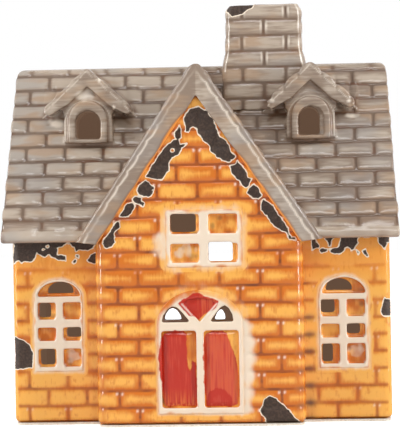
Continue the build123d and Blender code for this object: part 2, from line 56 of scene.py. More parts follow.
def tint(red: int, green: int, blue: int) -> Colour:
    """Turns a colour as seen on a screen into the linear one that a shader takes.

    Args:
        red, green, blue: the colour, each from 0 to 255.

    Returns:
        The linear colour with an opaque fourth value.
    """
    shares = [value / 255 for value in (red, green, blue)]
    lin = [s / 12.92 if s <= 0.04045 else ((s + 0.055) / 1.055) ** 2.4 for s in shares]
    return (*lin, 1.0)


def operator(operation: str, reflected: bool = False) -> Callable[["Wire", Any], "Wire"]:
    """Makes the method that stands for one operator between wires and numbers.

    Args:
        operation: what its Math node does.
        reflected: whether the other value comes first.

    Returns:
        The method.
    """
    def method(self: "Wire", other: Any) -> "Wire":
        """Adds the Math node and gives its result."""
        pair = (other, self) if reflected else (self, other)
        return self.recipe.node("ShaderNodeMath", {"operation": operation}, dict(enumerate(pair)))

    return method


class Wire:
    """A value socket that takes part in sums, each of which adds a Math node."""

    __add__, __radd__ = operator("ADD"), operator("ADD", True)
    __sub__, __rsub__ = operator("SUBTRACT"), operator("SUBTRACT", True)
    __mul__, __rmul__ = operator("MULTIPLY"), operator("MULTIPLY", True)
    most = operator("MAXIMUM")

    def __init__(self, recipe: "Recipe", socket: Any) -> None:
        """Wraps one output socket of a recipe."""
        self.recipe, self.socket = recipe, socket

    def rise(self, low: float, high: float) -> "Wire":
        """Goes smoothly from 0 where the value is low to 1 where it is high."""
        sockets = {"Value": self, "From Min": low, "From Max": high, "To Min": 0.0, "To Max": 1.0}
        return self.recipe.node("ShaderNodeMapRange", {"interpolation_type": "SMOOTHSTEP"}, sockets)


class Recipe:
    """A material or world being mixed: one method adds any node, the rest are short cuts to it."""

    def __init__(self, name: str, group: str = "materials", output: str = "ShaderNodeOutputMaterial") -> None:
        """Starts an empty material, or a world, with its output.

        Args:
            name: its name.
            group: materials or worlds.
            output: the output node's type.
        """
        self.owner = getattr(bpy.data, group).new(name)
        self.owner.use_nodes = True
        self.tree = self.owner.node_tree
        self.tree.nodes.clear()
        self.output = self.tree.nodes.new(output)

    def node(self, kind: str, settings: dict, sockets: dict, out: int | str = 0) -> Wire:
        """Adds a node.

        Args:
            kind: the node's type.
            settings: its properties, set before its sockets.
            sockets: a value, colour or Wire for each socket, by name or number.
            out: the output to give back.

        Returns:
            That output, as a Wire.
        """
        made = self.tree.nodes.new(kind)
        for key, value in settings.items():
            setattr(made, key, value)
        for key, value in sockets.items():
            if isinstance(value, Wire):
                self.tree.links.new(value.socket, made.inputs[key])
            else:
                made.inputs[key].default_value = value
        return Wire(self, made.outputs[out])

    def mask(self, name: str) -> Wire:
        """Reads one of the piece's own painted values."""
        return self.node("ShaderNodeAttribute", {"attribute_name": name}, {}, "Fac")

    def cloud(self, stretch: Sequence[float], detail: float = 2.0, shift: float = 0.0) -> Wire:
        """Gives soft noise from 0 to 1 over the object.

        Args:
            stretch: how many features a millimetre there are along each axis.
            detail: how much finer noise is laid over it.
            shift: how far the pattern is moved along all axes.

        Returns:
            The noise.
        """
        here = self.node("ShaderNodeTexCoord", {}, {}, "Object")
        scale = [value / MM for value in stretch]
        place = self.node("ShaderNodeMapping", {}, {"Vector": here, "Location": (shift,) * 3, "Scale": scale})
        return self.node("ShaderNodeTexNoise", {}, {"Vector": place, "Scale": 1.0, "Detail": detail})

    def coats(self, ground: Any, *layers: tuple[Any, Any]) -> Wire:
        """Lays colours over a ground, one after another.

        Args:
            ground: the colour or Wire that they go over.
            layers: each one's colour and the share of it that shows.

        Returns:
            The mixed colour.
        """
        settings = {"data_type": "RGBA", "clamp_factor": True}
        for colour, share in layers:
            ground = self.node("ShaderNodeMix", settings, {0: share, 6: ground, 7: colour}, 2)
        return ground

    def bump(self, height: Wire, millimetres: float, strength: float) -> Wire:
        """Turns a height into a normal, with that much relief."""
        sockets = {"Height": height, "Distance": millimetres * MM, "Strength": strength}
        return self.node("ShaderNodeBump", {}, sockets)

    def close(self, kind: str, sockets: dict) -> Any:
        """Sends a last shader to the output and gives the material or world back.

        Args:
            kind: the shader node's type.
            sockets: a value or Wire for each socket.

        Returns:
            The finished material or world.
        """
        shader = self.node(kind, {}, sockets)
        self.tree.links.new(shader.socket, self.output.inputs["Surface"])
        return self.owner


class Ground(Enum):
    """What colour a glaze lays on the clay before the other paints go over it."""

    BRICK = "brick"
    ROOF = "roof"


@dataclass(frozen=True)
class PaintedGlaze:
    """Glossy glaze over hand painting, which reads the values painted on each piece."""

    name: str
    ground: Ground
    gloss: float = 0.11
    cream: Colour = tint(238, 219, 196)
    scar: Colour = tint(57, 41, 32)
    # The inside, painted dark as shade
    dark: Colour = tint(112, 90, 72)
    # White of the painted highlights and reflections
    highlight_white: Colour = tint(250, 238, 222)
    # A faint glow of the inside, painted though no lamp is there
    glow: Colour = tint(90, 71, 57)

    def brick(self, recipe: Recipe) -> Wire:
        """Orange brick with light middles, burnt edges and brown mortar.

        Args:
            recipe: the material being mixed.

        Returns:
            The colour.
        """
        gap = recipe.mask("gap")
        streak = recipe.cloud((0.9, 0.9, 0.11), 3.0)
        grain = recipe.cloud((0.35, 0.35, 0.3), 2.0, 7.0)
        wash = recipe.cloud((0.045, 0.045, 0.06), 2.0, 23.0)
        faint = recipe.cloud((0.07, 0.07, 0.24), 2.0, 29.0).rise(0.34, 0.6) * 0.45 + 0.55
        pool = recipe.cloud((0.12, 0.12, 0.3), 1.0, 3.0).rise(0.52, 0.68)
        middle = (gap + (streak - 0.5) * 2.8 + (wash - 0.5) * 6.4 + recipe.mask("tone")).rise(0.3, 3.1)
        line = (1 - gap.rise(0.2, 0.85)) * recipe.mask("joint") * faint
        return recipe.coats(
            tint(213, 116, 32), (tint(245, 178, 82), middle),
            (tint(203, 102, 34), (streak * 0.6 + grain * 0.6).rise(0.62, 0.8) * 0.5),
            (tint(207, 107, 30), (1 - gap.rise(0.3, 1.5)) * 0.36),
            (tint(148, 70, 28), line), (tint(104, 60, 34), pool * line * 0.8))

    def roof(self, recipe: Recipe) -> Wire:
        """Beige-grey brick with brushed streaks and brown hollows.

        Args:
            recipe: the material being mixed.

        Returns:
            The colour.
        """
        gap = recipe.mask("gap")
        brush = recipe.cloud((0.1, 0.4, 0.9), 3.0)
        cool = recipe.cloud((0.035, 0.035, 0.05), 1.0, 11.0).rise(0.5, 0.7)
        warm = recipe.cloud((0.05, 0.05, 0.14), 2.0, 15.0).rise(0.5, 0.66)
        rust = recipe.cloud((0.09, 0.09, 0.3), 2.0, 19.0).rise(0.52, 0.66)
        middle = (gap + (brush - 0.5) * 5.0 + recipe.mask("tone") * 1.3).rise(0.3, 3.0)
        line = (1 - gap.rise(0.3, 0.85)) * recipe.mask("joint")
        mortar = recipe.coats(tint(102, 82, 68), (tint(98, 60, 38), rust))
        return recipe.coats(
            tint(146, 127, 111), (tint(190, 174, 157), middle), (tint(163, 157, 152), cool * 0.55),
            (tint(178, 146, 116), warm * 0.6), (tint(142, 118, 99), (1 - gap.rise(0.4, 1.5)) * 0.5),
            (mortar, line * 0.9))

    def material(self) -> Finish:
        """Mixes the glaze: the ground, then the brushed paints with stains and painted shade, the chips, the
        inside painted dark as shade, and the painted highlights.

        Returns:
            The finished material.
        """
        recipe = Recipe(self.name)
        ground = self.brick(recipe) if self.ground is Ground.BRICK else self.roof(recipe)
        inside = recipe.mask("inside")
        ragged = recipe.cloud((0.9, 0.9, 0.9), 3.0, 5.0) - 0.5
        mist = recipe.cloud((0.35, 0.35, 0.16), 2.0, 8.0) - 0.5
        brush = recipe.cloud((1.5, 1.5, 0.08), 3.0, 9.0)
        grit = recipe.cloud((1.1, 1.1, 1.1), 4.0, 2.0)
        strokes = (brush + recipe.mask("tone") * 0.12).rise(0.38, 0.68)
        red = recipe.coats(tint(188, 42, 22), (tint(204, 74, 50), strokes),
                           (tint(218, 106, 50), recipe.mask("thin") * brush.rise(0.38, 0.6)))
        scar = recipe.mask("scar") + ragged * 0.5
        bare = recipe.coats(self.scar, (tint(80, 60, 47), grit.rise(0.42, 0.68)))
        body = recipe.coats(
            # Brown for real stains, and for painted shade in valleys, recesses, hollows and under eaves
            ground, (tint(112, 80, 58), recipe.mask("stain_and_shade")), (tint(238, 146, 54), recipe.mask("amber")),
            (self.cream, (recipe.mask("cream") + mist * 0.5).rise(0.15, 0.85)),
            (red, (recipe.mask("red") + ragged * 0.6).rise(-0.3, 0.25)),
            (tint(244, 228, 206), scar.rise(-0.52, -0.38)), (bare, scar.rise(-0.08, 0.06)),
            # The inside painted dark as shade
            (self.dark, inside),
            # Painted highlights: white glints and reflections laid on the glaze as colour
            (self.highlight_white, recipe.mask("painted_highlight") * 0.88 * (1 - scar.rise(-0.4, -0.1))))
        chipped = scar.rise(-0.1, 0.1)
        wave = recipe.cloud((0.22, 0.22, 0.22), 2.0, 4.0) + grit * chipped * 0.5
        # The inside also has a faint painted glow in the same brown
        return recipe.close("ShaderNodeBsdfPrincipled", {
            "Base Color": body, "Roughness": chipped.most(inside) * 0.45 + self.gloss,
            "Normal": recipe.bump(wave, 0.35, 0.5),
            "Emission Color": recipe.coats((0, 0, 0, 1), (self.glow, inside)), "Emission Strength": 1.0})


@dataclass(frozen=True)
class PlainFinish:
    """A finish of one stuff, with its own mottling, gloss and relief."""

    name: str
    low: Colour
    high: Colour
    roughness: float
    relief: float
    grain: float
    metallic: float = 0.0
    scatter: float = 0.0

    def material(self) -> Finish:
        """Mixes the finish.

        Returns:
            The finished material.
        """
        recipe = Recipe(self.name)
        fine = recipe.cloud((self.grain,) * 3, 4.0)
        broad = recipe.cloud((self.grain * 0.15,) * 3, 2.0, 6.0)
        return recipe.close("ShaderNodeBsdfPrincipled", {
            "Base Color": recipe.coats(self.low, (self.high, (fine * 0.6 + broad * 0.4).rise(0.36, 0.62))),
            "Roughness": (fine - 0.5) * 0.2 + self.roughness, "Metallic": self.metallic,
            "Subsurface Weight": self.scatter, "Subsurface Scale": 0.002,
            "Normal": recipe.bump(fine, self.relief, 0.6)})


BRICK_GLAZE = PaintedGlaze("brick_glaze", Ground.BRICK)
CREAM_GLAZE = PaintedGlaze("cream_glaze", Ground.BRICK)
RED_GLAZE = PaintedGlaze("red_glaze", Ground.BRICK, 0.1)
ROOF_GLAZE = PaintedGlaze("roof_glaze", Ground.ROOF, 0.13)
BARE_CLAY = PlainFinish("bare_clay", tint(222, 210, 192), tint(240, 232, 219), 0.75, 0.15, 1.1)
CUP_METAL = PlainFinish("cup_metal", tint(196, 198, 200), tint(216, 217, 219), 0.3, 0.05, 0.4, 1.0)
WAX = PlainFinish("wax", tint(240, 234, 221), tint(248, 245, 237), 0.45, 0.08, 0.3, 0.0, 0.3)
WICK_COTTON = PlainFinish("wick_cotton", tint(208, 200, 184), tint(236, 231, 220), 0.9, 0.2, 3.0)


def ease(value: Values, low: float, high: float) -> Values:
    """Goes smoothly from 0 where the value is low to 1 where it is high."""
    share = np.clip((value - low) / (high - low), 0, 1)
    return share * share * (3 - 2 * share)


def hump(value: Values, width: float) -> Values:
    """Peaks at 1 where the value is 0, and fades over about that width on both sides."""
    return np.exp(-(value / width) ** 2)


def lumps(points: Values, size: float, seed: int = 0) -> Values:
    """Gives soft noise from -1 to 1 over points.

    Args:
        points: one row of x, y, z for each.
        size: about how wide a lump is, in the points' unit.
        seed: a different number gives a different pattern.

    Returns:
        One value for each point.
    """
    grid = points / size + 31.7 * (seed + 1)
    cell = np.floor(grid).astype(np.int64)
    part = grid - cell
    part = part * part * (3 - 2 * part)
    total = np.zeros(len(points))
    for corner in range(8):
        step = np.array([corner & 1, corner >> 1 & 1, corner >> 2 & 1])
        key = (cell + step) @ np.array([73856093, 19349663, 83492791]) + seed * 2654435761
        key = (key ^ (key >> 13)) * 1274126177 & 0xFFFFFFFF
        value = ((key ^ (key >> 16)) & 0xFFFF) / 32767.5 - 1
        total += value * np.prod(np.where(step, part, 1 - part), axis=1)
    return total


def inwards(points: Values, outline: Sequence[Point]) -> Values:
    """Measures how far each point lies inside an outline, and below 0 outside it.

    Args:
        points: one row of two numbers for each.
        outline: the corners of a closed line.

    Returns:
        One distance for each point.
    """
    best = np.full(len(points), 1e9)
    inside = np.zeros(len(points), bool)
    for (ax, ay), (bx, by) in zip(outline, [*outline[1:], outline[0]]):
        dx, dy = bx - ax, by - ay
        share = ((points[:, 0] - ax) * dx + (points[:, 1] - ay) * dy) / max(dx * dx + dy * dy, 1e-9)
        share = np.clip(share, 0, 1)
        gap = np.hypot(points[:, 0] - ax - share * dx, points[:, 1] - ay - share * dy)
        best = np.minimum(best, gap)
        if ay != by:
            over = (points[:, 1] < ay) != (points[:, 1] < by)
            inside ^= over & (points[:, 0] < ax + (points[:, 1] - ay) * dx / dy)
    return np.where(inside, best, -best)


def inside_any(points: Values, outlines: Sequence[Sequence[Point]], reach: float = 3.0) -> Values:
    """Measures how far each point lies inside the nearest of several outlines, down to -reach outside.

    Args:
        points: one row of two numbers for each.
        outlines: the closed lines.
        reach: how far outside an outline the measure goes.

    Returns:
        One distance for each point.
    """
    depth = np.full(len(points), -reach)
    for outline in outlines:
        low, high = np.min(outline, axis=0) - reach, np.max(outline, axis=0) + reach
        near = np.all((points > low) & (points < high), axis=1)
        if near.any():
            depth[near] = np.maximum(depth[near], inwards(points[near], outline))
    return depth


def arc(centre: Point, radii: Point, start: float, end: float, steps: int = 12) -> list[Point]:
    """Lists points on an arc, from one angle in degrees to another."""
    turn = [math.radians(start + (end - start) * step / steps) for step in range(steps + 1)]
    return [(centre[0] + radii[0] * math.cos(t), centre[1] + radii[1] * math.sin(t)) for t in turn]


def rounded(low: Point, high: Point, radius: float, steps: int = 5) -> list[Point]:
    """Lists the outline of a rectangle with rounded corners.

    Args:
        low: its lower left corner.
        high: its upper right corner.
        radius: that of the rounding.
        steps: how many parts each round corner has.

    Returns:
        The corners, in order.
    """
    (x0, y0), (x1, y1) = low, high
    radius = min(radius, (x1 - x0) / 2.01, (y1 - y0) / 2.01)
    corners = [((x1 - radius, y1 - radius), 0), ((x0 + radius, y1 - radius), 90),
               ((x0 + radius, y0 + radius), 180), ((x1 - radius, y0 + radius), 270)]
    return [p for centre, turn in corners for p in arc(centre, (radius, radius), turn, turn + 90, steps)]


def arched(centre: float, half: float, foot: float, spring: float, crown: float,
           steps: int = 20) -> list[Point]:
    """Lists the outline of an opening with a straight foot and an arched head."""
    head = arc((centre, spring), (half, crown - spring), 0, 180, steps)
    return [(centre + half, foot), *head, (centre - half, foot)]


@dataclass
class Courses:
    """Brickwork: level lines, and joints that shift by half a brick from row to row."""

    first: float
    pitch: float
    length: float
    shift: float = 0.0
    wobble: float = 0.22
    seed: int = 1

    def marks(self, height: Values, width: float) -> Values:
        """Peaks at 1 on every level line and fades over that width."""
        level = (height - self.first) / self.pitch
        return hump((level - np.round(level)) * self.pitch, width)

    def gaps(self, points: Values, phase: Values, height: Values) -> tuple[Values, ...]:
        """Measures the distance to the mortar.

        Args:
            points: where each vertex is, for the hand-made wobble.
            phase: how far along the row it is, in bricks.
            height: how high it is.

        Returns:
            The distance to the nearest level line, that to the nearest joint, how far
            the vertex is below the line above it, and a value of its own for each brick.
        """
        height = height + self.wobble * lumps(points, 14, self.seed) + 0.1 * lumps(points, 4, self.seed + 1)
        level = (height - self.first) / self.pitch
        row = np.floor(level).astype(int)
        up = np.abs(level - np.round(level)) * self.pitch
        phase = phase + 0.018 * lumps(points, 9, self.seed + 2) + self.shift + 0.5 * (row % 2)
        across = np.abs(phase - np.round(phase)) * self.length
        key = np.stack([np.floor(phase) * 3.1, row * 2.7, np.zeros(len(row))], axis=1)
        return up, across, (row + 1 - level) * self.pitch, lumps(key, 1.0, self.seed + 3)


class Clay:
    """The vertices of a piece in millimetres, with the values painted on them."""

    # What each value starts as: gap is the distance to the mortar, red and scar are depths in their outlines
    START = {"gap": 6, "joint": 0, "tone": 0, "cream": 0, "red": -3, "thin": 0, "scar": -3, "inside": 0,
             "stain_and_shade": 0, "amber": 0, "painted_highlight": 0}

    def __init__(self, piece: Solid) -> None:
        """Reads a piece.

        Args:
            piece: a mesh object in millimetres.
        """
        self.piece = piece
        self.count = len(piece.data.vertices)
        self.points = self.read(piece.data.vertices, "co")
        self.normals = self.read(piece.data.vertex_normals, "vector")
        self.paint = {name: np.full(self.count, float(value)) for name, value in self.START.items()}

    def read(self, rows: Any, name: str) -> Values:
        """Reads one vector for each vertex.

        Args:
            rows: the vertices or their normals.
            name: the property that holds the vector.

        Returns:
            One row for each vertex.
        """
        values = np.empty(self.count * 3)
        rows.foreach_get(name, values)
        return values.reshape(-1, 3)

    def axes(self) -> tuple[Values, Values, Values]:
        """Gives x, y and z as three rows."""
        return self.points[:, 0], self.points[:, 1], self.points[:, 2]

    def view(self) -> Values:
        """Gives x and z in two columns, as seen from the front."""
        return self.points[:, ::2]

    def noise(self, size: float, seed: int) -> Values:
        """Gives soft noise from -1 to 1 over the vertices as they are now."""
        return lumps(self.points, size, seed)

    def push(self, amount: Values) -> None:
        """Moves every vertex along its normal."""
        self.points = self.points + self.normals * amount[:, None]

    def over(self, name: str, *layers: Values) -> None:
        """Paints layers over what is there, wherever one of them is stronger."""
        for layer in layers:
            self.paint[name] = np.maximum(self.paint[name], layer)

    def lay(self, courses: Courses, phase: Values, where: Values, height: Values,
            depth: float = 0.5, beads: float = 0.0, stroke: Point = (1.3, 0.8)) -> None:
        """Presses brickwork into the clay.

        Args:
            courses: the brickwork.
            phase: how far along its row each vertex is, in bricks.
            where: how strongly the brickwork shows there, from 0 to 1.
            height: how high each vertex is.
            depth: how deep the mortar lies.
            beads: how high the glaze beads beside the joints stand; they are also painted white as
                highlights.
            stroke: how far below the line above they are, and how round they are.
        """
        up, across, below, tone = courses.gaps(self.points, phase, height)
        gap = -np.log(np.exp(-2.2 * up) + np.exp(-2.2 * across)) / 2.2
        gap = np.maximum(gap, 0)
        worn = 0.8 + 0.2 * self.noise(11, courses.seed + 5)
        self.paint["gap"] = np.where(where > 0, 6 + (gap - 6) * np.minimum(where * 4, 1), self.paint["gap"])
        self.over("joint", where * worn)
        self.paint["tone"] = self.paint["tone"] + where * tone
        self.push(-where * worn * depth * hump(gap, 0.65) + where * 0.12 * ease(gap, 0.6, 2.2))
        # Glaze beads beside the joints, raised a little and painted white as highlights
        if beads:
            spot = np.hypot(np.abs(across) - 1.15, (below - stroke[0]) * stroke[1])
            painted_highlight = hump(spot, 0.42) * where * ease(self.noise(21, courses.seed + 7), -0.5, 0.1)
            self.over("painted_highlight", painted_highlight)
            self.push(painted_highlight * beads)

    def chip(self, depth: Values, recess: float = 0.35) -> None:
        """Breaks the glaze away inside outlines, whose signed depth is given.

        Args:
            depth: how far each vertex lies inside the outlines.
            recess: how deep the glaze is.
        """
        self.over("scar", depth)
        rough = 0.08 * self.noise(1.6, 40) * ease(depth, 0, 0.6)
        self.push(rough - recess * ease(depth, -0.35, 0.35) + 0.12 * hump(depth + 0.25, 0.3))

    def save(self) -> None:
        """Writes the vertices and the painted values back to the piece."""
        mesh = self.piece.data
        mesh.vertices.foreach_set("co", self.points.ravel())
        for name, values in self.paint.items():
            layer = mesh.attributes.get(name) or mesh.attributes.new(name, "FLOAT", "POINT")
            layer.data.foreach_set("value", np.asarray(values, np.float32))
        mesh.update()


class Bench:
    """The modelling tools, used as by hand: a primitive, edit mode, modifiers."""

    def ring(self, outline: Sequence[Point], place: Callable[[float, float], tuple], fill: str) -> Solid:
        """Adds a circle, draws it out to an outline and goes into edit mode with all of it selected.

        Args:
            outline: the corners.
            place: gives the spot of a corner.
            fill: how the circle is filled.

        Returns:
            The piece.
        """
        bpy.ops.object.select_all(action="DESELECT")
        bpy.ops.mesh.primitive_circle_add(vertices=len(outline), radius=1, fill_type=fill)
        piece = bpy.context.object
        for vertex, corner in zip(piece.data.vertices, outline):
            vertex.co = place(*corner)
        bpy.ops.object.mode_set(mode="EDIT")
        bpy.ops.mesh.select_all(action="SELECT")
        return piece

    def close(self, piece: Solid) -> Solid:
        """Turns all faces outwards, leaves edit mode and gives the piece back.

        Args:
            piece: the piece in edit mode.

        Returns:
            The same piece.
        """
        bpy.ops.mesh.select_all(action="SELECT")
        bpy.ops.mesh.normals_make_consistent(inside=False)
        bpy.ops.object.mode_set(mode="OBJECT")
        return piece

    def prism(self, outline: Sequence[Point], axis: str, start: float, end: float) -> Solid:
        """Extrudes an outline into a closed solid.

        Args:
            outline: its corners, across the axis.
            axis: x, y or z, along which it is extruded.
            start: where it begins on that axis.
            end: where it ends.

        Returns:
            The solid, in millimetres.
        """
        place = {"x": lambda a, b: (start, a, b), "y": lambda a, b: (a, start, b),
                 "z": lambda a, b: (a, b, start)}
        piece = self.ring(outline, place[axis], "NGON")
        step = [(end - start) * (name == axis) for name in "xyz"]
        bpy.ops.mesh.extrude_region_move(TRANSFORM_OT_translate={"value": step})
        return self.close(piece)

    def turned(self, outline: Sequence[Point], centre: Point, steps: int) -> Solid:
        """Spins a profile round an upright axis.

        Args:
            outline: its corners, radius and height, the first and last on the axis.
            centre: where the axis stands.
            steps: how many faces go round.

        Returns:
            The solid, in millimetres.
        """
        piece = self.ring(outline, lambda r, z: (centre[0] + r, centre[1], z), "NOTHING")
        bpy.ops.mesh.spin(steps=steps, angle=math.tau, center=(*centre, 0), axis=(0, 0, 1))
        bpy.ops.mesh.select_all(action="SELECT")
        bpy.ops.mesh.remove_doubles(threshold=0.001)
        bpy.ops.mesh.delete_loose()
        return self.close(piece)

    def pick(self, piece: Solid) -> None:
        """Selects one piece alone and makes it active.

        Args:
            piece: the one to select.
        """
        bpy.ops.object.select_all(action="DESELECT")
        piece.select_set(True)
        bpy.context.view_layer.objects.active = piece

    def apply(self, piece: Solid, kind: str, **settings: Any) -> None:
        """Adds a modifier with those settings and applies it.

        Args:
            piece: the piece.
            kind: the modifier's type.
            settings: its properties.
        """
        self.pick(piece)
        made = piece.modifiers.new(kind, kind)
        for key, value in settings.items():
            setattr(made, key, value)
        bpy.ops.object.modifier_apply(modifier=made.name)

    def combine(self, piece: Solid, how: str, *tool: Any) -> Solid:
        """Cuts, joins or intersects a solid with a prism, given as prism takes it.

        Args:
            piece: the solid.
            how: DIFFERENCE, UNION or INTERSECT.
            tool: the outline, axis, start and end of the prism.

        Returns:
            The same solid.
        """
        other = self.prism(*tool)
        self.apply(piece, "BOOLEAN", operation=how, solver="EXACT", object=other)
        bpy.data.objects.remove(other)
        return piece

    def cut(self, piece: Solid, *tool: Any) -> Solid:
        """Takes a prism's shape out of a solid."""
        return self.combine(piece, "DIFFERENCE", *tool)

    def keep(self, piece: Solid, *tool: Any) -> Solid:
        """Keeps what a solid shares with a prism."""
        return self.combine(piece, "INTERSECT", *tool)

    def add(self, piece: Solid, *others: Solid) -> None:
        """Joins others to a solid as loose shells, which the remesh welds.

        Args:
            piece: the solid that takes them in.
            others: the ones that are joined to it.
        """
        self.pick(piece)
        for other in others:
            other.select_set(True)
        bpy.ops.object.join()

    def weld(self, piece: Solid, voxel: float, soften: int = 3) -> Clay:
        """Remeshes a piece into one even skin, softens its edges like slip and gives its clay.

        Args:
            piece: the solids, joined.
            voxel: the size of the new faces.
            soften: how many times it is smoothed.

        Returns:
            The piece's clay.
        """
        self.apply(piece, "REMESH", mode="VOXEL", voxel_size=voxel, adaptivity=0.0)
        self.apply(piece, "SMOOTH", factor=0.5, iterations=soften)
        return Clay(piece)

    def finish(self, made: Solid | Clay, name: str, body: str, slot: str, material: Finish,
               *nodes: str) -> None:
        """Brings a piece to metres, names it, dresses it and ties it to the frame.

        Args:
            made: the piece in millimetres, or its clay.
            name: its name.
            body: the body it rides on.
            slot: the record's material slot; not used.
            material: its finish.
            nodes: the CAD nodes that it stands for.
        """
        piece = made
        if isinstance(made, Clay):
            made.save()
            piece = made.piece
        piece.data.transform(Matrix.Scale(MM, 4))
        piece.name = piece.data.name = name
        piece.data.materials.clear()
        piece.data.materials.append(material)
        self.pick(piece)
        bpy.ops.object.shade_smooth()
        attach(piece, body)
        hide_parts(*nodes)
        LOG.info("%s: %d faces", name, len(piece.data.polygons))


@dataclass(frozen=True)
class Plan:
    """The sizes in millimetres that the sub-assemblies share, as the frame has them."""

    half_width: float = 80.0
    wall: float = 5.0
    front: float = -31.25
    back: float = 38.75
    bay_half: float = 43.5
    bay_front: float = -43.25
    ridge_y: float = 3.75
    ridge_inner: float = 146.77
    ridge_outer: float = 157.35
    pitch: float = 1.865
    gable_inner: float = 145.05
    gable_outer: float = 154.02
    gable_pitch: float = 1.49
    foot: float = 1.0

    def under_roof(self, grow: float) -> list[Point]:
        """Lists the side view of what lies under the main roof, grown into it by that much.

        Args:
            grow: how far it reaches into the roof.

        Returns:
            The corners, in order.
        """
        reach = 38.0
        low = self.ridge_inner + grow - self.pitch * reach
        left, right = self.ridge_y - reach, self.ridge_y + reach
        return [(left, 0), (left, low), (self.ridge_y, self.ridge_inner + grow), (right, low), (right, 0)]

    def under_gable(self, half: float, grow: float) -> list[Point]:
        """Lists the front view of what lies under the gable roof, grown into it by that much.

        Args:
            half: half its width.
            grow: how far it reaches into the roof.

        Returns:
            The corners, in order.
        """
        low = self.gable_inner + grow - self.gable_pitch * half
        return [(-half, 0), (half, 0), (half, low), (0, self.gable_inner + grow), (-half, low)]


PLAN = Plan()
BENCH = Bench()
# What each side is called in the names of pieces and nodes
WORDS = {-1: "left", 1: "right"}

# Scars in the gable's glaze, across and up in millimetres, traced
GABLE_SCARS = [
    [(-4.9, 126.8), (-4.9, 128.7), (-2.6, 131.7), (-0.6, 132.4), (1, 132.8), (3, 131.8), (4.9, 131.1),
     (5.3, 129.3), (7.1, 127.5), (7.6, 125.3), (8.6, 122.5), (9.1, 120.7), (11.3, 119.3), (13.6, 116.1),
     (14.2, 113.7), (16.1, 112.2), (15.3, 111.3), (12.9, 109.9), (10.5, 110.8), (8.6, 112), (7, 113.8),
     (5.8, 114.6), (5.3, 117), (3.1, 118.8), (1.4, 121.3), (0.4, 123.5), (-0.4, 124.5), (-1.3, 124.9),
     (-2.8, 124.1), (-3.4, 122.7), (-4.4, 123.2), (-4.5, 125.2)],
    [(13.9, 107.9), (16.1, 108.5), (16.7, 110.2), (18.8, 108), (20.4, 105.2), (20.7, 103.2), (22.5, 102.6),
     (21.5, 100.4), (20.3, 99.1), (19.1, 99.9), (18.3, 101.3), (16.7, 102.9), (14.8, 104.9)],
    [(20.8, 96.7), (21.4, 98.8), (23.6, 100), (25, 99.2), (26.7, 95.8), (25.3, 94.6), (23, 94.8)],
    [(26.4, 92.6), (27.3, 94), (29.3, 92.7), (31.2, 91.1), (32.7, 88.3), (34.7, 85.5), (37.4, 81.9),
     (37.5, 79.5), (38.5, 78.1), (40.3, 77.9), (40.3, 77), (37.7, 77.7), (36.6, 80.3), (35, 81.1),
     (32.6, 82.4), (30.7, 84), (29.5, 86.4), (28.4, 87.8), (26.4, 89.6)],
    [(-6.9, 125.1), (-8.9, 122.9), (-9, 120.9), (-7.7, 119.4), (-6.7, 120.3), (-6.4, 122.8)],
    [(-7.7, 119.4), (-9.5, 119.1), (-12, 117.4), (-15.1, 114), (-18.2, 109.5), (-21.4, 104.3),
     (-18.3, 103.7), (-14.8, 103.1), (-13.8, 104.4), (-11.7, 106.8), (-12.2, 109.9), (-10.1, 112.3),
     (-7.6, 113.3), (-6.3, 116.3), (-4, 117.8), (-7.2, 117.3)],
    [(-21.4, 102.5), (-24.5, 100.5), (-25, 98.5), (-24.3, 97), (-22.5, 96.5), (-20.5, 95.7), (-18.4, 97.9),
     (-17.9, 99.9), (-19.9, 101)],
    [(-27.1, 95), (-25.3, 96.3), (-23.5, 95.5), (-23.8, 94.2), (-22.1, 93.2), (-22.6, 92.2), (-24.6, 93),
     (-25.9, 93.5)],
    [(-27.1, 93.5), (-29.7, 92.8), (-31.2, 90.1), (-32.5, 88.3), (-29, 88), (-27.4, 90), (-26.4, 92.3)],
    [(-33.6, 85.8), (-35.4, 84.1), (-36.4, 81.6), (-39, 79.1), (-39.8, 76.6), (-38.6, 75.1), (-36.3, 75.5),
     (-34.7, 77.5), (-35.4, 80.6), (-35.2, 81.6), (-32.9, 83.3), (-32.6, 85.1)],
    [(28.8, 12.6), (31.4, 11), (32.7, 9.4), (34.8, 8), (37.1, 5.6), (38.7, 3.2), (41, 1.4), (41, -2),
     (28, -2), (27, 2), (27.1, 3.4), (25.2, 4.7), (24.5, 6.3), (25.6, 7.9), (26.1, 10.5)],
]
# Scars in the wings' glaze
LEFT_SCARS = [
    [(-81, 79), (-78.8, 76.3), (-81, 68), (-77, 70.5), (-76.1, 69.1), (-74.6, 69.7), (-71.9, 69.5),
     (-70.4, 70.9), (-69.6, 73.5), (-68.2, 72.4), (-65.9, 71.6), (-64.6, 72.6), (-62.9, 71.4),
     (-61.1, 71.2), (-60.2, 70.3), (-56.8, 69.7), (-57.2, 71.6), (-61.1, 72.3), (-60.4, 73.2),
     (-60.9, 75.4), (-57.1, 76.2), (-53.6, 75.6), (-53.4, 81), (-81, 81)],
    [(-56.6, 81), (-55.6, 77.4), (-53.8, 76), (-52.8, 74.8), (-52.5, 73.8), (-50.6, 74.3), (-47.6, 74.1),
     (-45.8, 74.6), (-45.2, 75.6), (-43, 77), (-43, 81)],
    [(-46.1, 72), (-44.3, 72.6), (-43.4, 72.3), (-43.6, 69), (-44.7, 68.3), (-46.8, 68.8), (-47.7, 69.5),
     (-47, 70.6)],
    [(-52.4, 72.1), (-51.2, 72), (-51.8, 70.8), (-52.6, 71.3)],
    [(-53.3, 70.1), (-52.6, 69.8), (-53.4, 68.4), (-54.1, 68.9)],
    [(-84, 37.8), (-78.8, 37.5), (-75.9, 35.9), (-73.2, 34.2), (-71.9, 30.9), (-71.7, 27.1), (-72, 24.7),
     (-77.2, 24), (-84, 23.6)],
]
